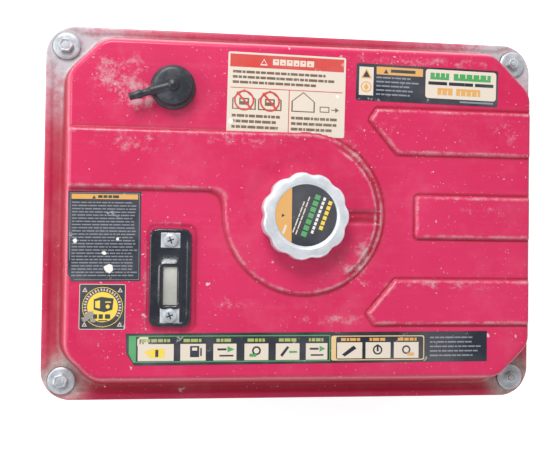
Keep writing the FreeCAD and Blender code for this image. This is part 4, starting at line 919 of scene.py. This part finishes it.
# vent valve with its bare hose nipple
vent = {
    "at": (-130.0, 124.5), "turn": 197.0, "sunk": 0.3, "nippleAt": 12.6, "grooves": 24,
    "groove": 0.25, "grooved": (5.0, 12.0),
    "body": [(22.0, 0), (22.3, 1.2), (22.0, 3.4), (20.6, 4.2), (19.6, 4.6), (19.2, 6.0),
             (19.2, 11.8), (18.6, 13.6), (17.2, 14.6), (15.0, 15.0), (9.0, 15.2), (0.01, 15.3)],
    "nipple": [(5.0, 0), (4.8, 22), (4.4, 23.6), (3.6, 24.2), (3.5, 31), (4.7, 32.5), (3.7, 38),
               (3.5, 43.4), (3.1, 44), (2.2, 44), (2.2, 10)],
    "elbow": [(0.01, -6), (4.0, -5.4), (6.0, -3.4), (6.6, 0), (6.0, 3.4), (4.0, 5.4), (0.01, 6)],
}


def makeVent():
    base = topAt(*vent["at"]) - vent["sunk"]
    start, end = vent["grooved"]

    def grooves(angle, radius, height):
        if not start < height < end:
            return 0
        return -vent["groove"] * (0.5 + 0.5 * math.cos(angle * vent["grooves"]))

    body = lathe(vent["body"], 72, grooves)
    body = closeEnds(*body, low=True, high=False)
    nipple = lathe(vent["nipple"], 32)
    elbow = lathe(vent["elbow"], 28)
    turn = Matrix.Rotation(math.radians(vent["turn"]), 4, "Z")
    turn = turn @ Matrix.Rotation(math.radians(90), 4, "Y")
    place = (*vent["at"], base + vent["nippleAt"])
    points, faces = joined([(placed(body[0], (*vent["at"], base)), body[1]),
                            (placed(nipple[0], place, turn), nipple[1]),
                            (placed(elbow[0], place), elbow[1])])
    piece = addMesh("ventValve", points, faces, "frame")
    piece.data.materials.append(made["vent_plastic"])
    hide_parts("vent_valve")


makeVent()


# fuel gauge: bezel and screws
gauge = {
    "sunk": 0.6, "windowGap": 0.5, "sides": 64, "corner": 7.0, "windowCorner": 1.2,
    # how far in and how high the moulding runs, from its foot to the hollow, then round the window
    "moulding": ((0.0, 0.0), (0.0, 3.2), (0.5, 4.5), (1.5, 5.1), (3.0, 5.0), (4.4, 4.0),
                 (6.0, 3.6)),
    "windowRim": ((4.6, 3.6), (3.4, 4.9), (1.6, 5.2), (0.5, 4.8), (0.0, 3.6), (0.0, 0.0)),
    "screwInset": 11.5, "plate": (9.5, 7.5), "plateFrom": 3.2, "plateTo": 4.6, "headAt": 4.5,
    "head": [(7.2, 0), (7.2, 1.4), (6.4, 2.5), (4.6, 3.2), (2.0, 3.5), (0.01, 3.55)],
    "slotHalf": (3.4, 0.6), "slotFrom": 3.1, "slotTo": 3.66, "slotTurns": (20, 110),
}


def roundLoop(halfX, halfY, r, rays):
    # where rays from the middle meet a rounded rectangle
    found = []
    for dx, dy in rays:
        low, high = 0.0, halfX + halfY
        for _ in range(30):
            reach = (low + high) / 2
            qx, qy = abs(dx * reach) - halfX + r, abs(dy * reach) - halfY + r
            gap = min(max(qx, qy), 0) + math.hypot(max(qx, 0), max(qy, 0)) - r
            low, high = (reach, high) if gap < 0 else (low, reach)
        found.append((dx * low, dy * low))
    return found


def makeGauge():
    low, high = (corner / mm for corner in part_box("gauge_bezel"))
    windowLow, windowHigh = (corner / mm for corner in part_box("gauge_window"))
    base = shellTop - gauge["sunk"]
    gap, sides = gauge["windowGap"], gauge["sides"]
    x0, x1, y0, y1 = low.x, high.x, low.y, high.y
    wx0, wx1 = windowLow.x - gap, windowHigh.x + gap
    wy0, wy1 = windowLow.y - gap, windowHigh.y + gap
    # one moulded frame: a rounded slab with a raised lip, and a hollow round the window
    outer = []
    cx, cy = (x0 + x1) / 2, (y0 + y1) / 2
    wx, wy = (wx0 + wx1) / 2, (wy0 + wy1) / 2
    for k in range(sides):
        a = 2 * math.pi * (k + 0.5) / sides
        outer.append((math.cos(a), math.sin(a)))
    rings = []
    for drop, lift in gauge["moulding"]:
        loop = roundLoop(x1 - cx - drop, y1 - cy - drop, gauge["corner"] - drop * 0.7, outer)
        rings.append([(cx + px, cy + py, base + lift) for px, py in loop])
    for grow, lift in gauge["windowRim"]:
        corner = gauge["windowCorner"] + grow * 0.8
        loop = roundLoop(wx1 - wx + grow, wy1 - wy + grow, corner, outer)
        rings.append([(wx + px, wy + py, base + lift) for px, py in loop])
    points = [Vector(p) for ring in rings for p in ring]
    faces = []
    for r in range(len(rings) - 1):
        for k in range(sides):
            j = (k + 1) % sides
            faces.append((r * sides + k, r * sides + j, (r + 1) * sides + j, (r + 1) * sides + k))
    assembled("gaugeBezel", [(points, faces)], "frame", "gloss_black", "gauge_bezel")
    screws, slots = [], []
    (wide, deep), (slotLong, slotWide) = gauge["plate"], gauge["slotHalf"]
    for y in (low.y + gauge["screwInset"], high.y - gauge["screwInset"]):
        screws.append(softBox((cx - wide, y - deep, base + gauge["plateFrom"]),
                              (cx + wide, y + deep, base + gauge["plateTo"]), 0.6, 2))
        head = lathe(gauge["head"], 36)
        place = (cx, y, base + gauge["headAt"])
        screws.append((shifted(head[0], place), head[1]))
        # the cross slots are thin black bars standing a hair above each head: painted shade for the
        # slots' hollows
        for turn in gauge["slotTurns"]:
            bar = softBox((-slotLong, -slotWide, gauge["slotFrom"]),
                          (slotLong, slotWide, gauge["slotTo"]), 0.12, 1)
            slots.append((shifted(bar[0], place, turn), bar[1]))
    assembled("gaugeScrews", screws, "frame", "zinc", "gauge_screws", smooth=False)
    assembled("gaugeScrewSlotShade", slots, "frame", "black_metal", smooth=False)


makeGauge()


# corner bolts, washers and the rubber under them
boltLook = {
    "rubber": [(0.01, 0.1), (13.7, 0.1), (14.1, 0.6), (14.0, 1.2), (13, 1.5), (0.01, 1.5)],
    "washer": [(0.01, 1.2), (13.5, 1.2), (14.0, 1.7), (13.6, 2.6), (11.0, 3.0), (7.0, 2.7),
               (0.01, 2.7)],
    "washerShift": (0.4, -0.2), "leftHead": 6.6, "rightHead": 5.0, "turn": 17, "turnEach": 40,
    # the head's profile, as shares of its size, then heights in mm
    "head": ((1.2, 2.6), (1.2, 6.2), (1.12, 7.2), (0.95, 7.7), (0.82, 7.5), (0.74, 7.0)),
    "hollowAt": 6.9, "shank": [(4.0, -30), (4.0, 3)], "nut": [(7.5, -28.5), (7.5, -21.9)],
}


def makeBolts():
    heads, washers, rubbers = [], [], []
    for i, (x, y) in enumerate(bolts):
        rubber, washer = lathe(boltLook["rubber"], 48), lathe(boltLook["washer"], 48)
        aside, ahead = boltLook["washerShift"]
        rubbers.append((shifted(rubber[0], (x, y, deck)), rubber[1]))
        washers.append((shifted(washer[0], (x + aside, y + ahead, deck)), washer[1]))
        flats = boltLook["rightHead"] if x > 0 else boltLook["leftHead"]
        hexed = [(flats * share, height) for share, height in boltLook["head"]]
        head = lathe(hexed + [(0.01, boltLook["hollowAt"])], 6)
        turn = boltLook["turn"] + boltLook["turnEach"] * i
        heads.append((shifted(head[0], (x, y, deck), turn), head[1]))
        disc = lathe([(flats * 0.62, 6.6), (flats * 0.6, 7.5 + 0.8 * (x > 0)),
                      (0.01, 7.7 + 1.2 * (x > 0))], 24)
        heads.append((shifted(disc[0], (x, y, deck)), disc[1]))
        shank = lathe(boltLook["shank"], 24)
        heads.append((shifted(closeEnds(*shank)[0], (x, y, deck)), shank[1]))
        nut = closeEnds(*lathe(boltLook["nut"], 6))
        heads.append((shifted(nut[0], (x, y, deck)), nut[1]))
    assembled("cornerBolts", heads, "frame", "zinc", "tank_bolts", smooth=False)
    assembled("cornerWashers", washers, "frame", "zinc", "tank_washers")
    assembled("cornerRubbers", rubbers, "frame", "rubber")


makeBolts()
print("vent valve, gauge and bolts made")


# starter rope between the housing and the grip, made straight where the frame's rope lies
ropeLook = {"steps": 120, "sides": 18, "strands": 3, "groove": 0.09, "twist": 0.55,
            "guideDepth": 0.004}


def makeRope():
    low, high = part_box("starter_rope")
    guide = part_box("recoil_housing")[0].y
    x, z = (low.x + high.x) / 2, (low.z + high.z) / 2
    radius = (high.x - low.x) / 2
    points, faces, rings = [], [], []
    steps, sides, strands = ropeLook["steps"], ropeLook["sides"], ropeLook["strands"]
    for i in range(steps + 1):
        y = high.y + (low.y - high.y) * i / steps
        ring = []
        for k in range(sides):
            a = 2 * math.pi * k / sides
            lay = 0.5 + 0.5 * math.cos(strands * a + i * ropeLook["twist"])
            r = radius * (1 - ropeLook["groove"] * lay)
            ring.append(len(points))
            points.append((x + r * math.cos(a), y, z + r * math.sin(a)))
        rings.append(ring)
    for a, b in zip(rings, rings[1:]):
        for k in range(sides):
            j = (k + 1) % sides
            faces.append((a[k], a[j], b[j], b[k]))
    faces += [tuple(rings[0]), tuple(rings[-1][::-1])]
    rope = addMesh("starterRope", points, faces, None)
    rope.data.materials.append(made["rope"])
    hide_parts("starter_rope")
    return rope, (x, guide + ropeLook["guideDepth"], z), (x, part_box("starter_handle")[1].y, z)


rope, ropeStart, ropeEnd = makeRope()
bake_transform(rope)
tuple(ropeStart)
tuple(ropeEnd)

# floor, sky, lamps and camera
stage = {"floor": (0.86, 0.86, 0.855), "half": 14.0, "glow": 0.5, "lampsAim": (0, 0, 0.42)}
floorFinish = Finish("paleFloor")
floorFinish.set(color=floorFinish.mix(floorFinish.noise(3.0), stage["floor"], (0.90, 0.90, 0.895)),
                rough=0.85)
floorFinish.shader.inputs["Emission Color"].default_value = (1, 1, 1, 1)
floorFinish.shader.inputs["Emission Strength"].default_value = stage["glow"]
s = stage["half"]
floorMesh = bpy.data.meshes.new("floor")
floorMesh.from_pydata([(-s, -s, 0), (s, -s, 0), (s, s, 0), (-s, s, 0)], [], [(0, 1, 2, 3)])
floor = bpy.data.objects.new("floor", floorMesh)
bpy.context.scene.collection.objects.link(floor)
floorMesh.materials.append(floorFinish.material)

world = bpy.data.worlds.new("studio")
bpy.context.scene.world = world
world.use_nodes = True
# the sky is white at the horizon and dimmer overhead
sky = {"From Min": 0.35, "From Max": 0.7, "To Min": 1.0, "To Max": 0.45}
worldNodes, worldLinks = world.node_tree.nodes, world.node_tree.links
direction = worldNodes.new("ShaderNodeTexCoord")
split = worldNodes.new("ShaderNodeSeparateXYZ")
fade = worldNodes.new("ShaderNodeMapRange")
for key, value in sky.items():
    fade.inputs[key].default_value = value
worldLinks.new(direction.outputs["Generated"], split.inputs[0])
worldLinks.new(split.outputs["Z"], fade.inputs["Value"])
worldLinks.new(fade.outputs[0], worldNodes["Background"].inputs[1])
worldNodes["Background"].inputs[0].default_value = (1, 1, 1, 1)
bpy.context.scene.view_settings.view_transform = "Standard"

lights = {
    "back": {"at": (-0.6, 1.7, 1.9), "size": 1.0, "power": 42.0},
    "left": {"at": (-1.9, 0.3, 1.5), "size": 1.0, "power": 14.0},
    "front": {"at": (0.8, -1.9, 1.6), "size": 1.4, "power": 3.0},
}
for name, look in lights.items():
    lamp = bpy.data.lights.new(name, "AREA")
    lamp.size = look["size"]
    lamp.energy = look["power"]
    holder = bpy.data.objects.new(name, lamp)
    bpy.context.scene.collection.objects.link(holder)
    holder.location = look["at"]
    aim = Vector(stage["lampsAim"]) - Vector(look["at"])
    holder.rotation_euler = aim.to_track_quat("-Z", "Y").to_euler()

eye = bpy.data.cameras.new("eye")
eye.lens = camera["lens"]
eye.sensor_width = 36.0
view = bpy.data.objects.new("eye", eye)
bpy.context.scene.collection.objects.link(view)
view.location = Vector(camera["place"]) * mm
view.rotation_euler = Euler([math.radians(a) for a in camera["turn"]], "XYZ")
bpy.context.scene.camera = view
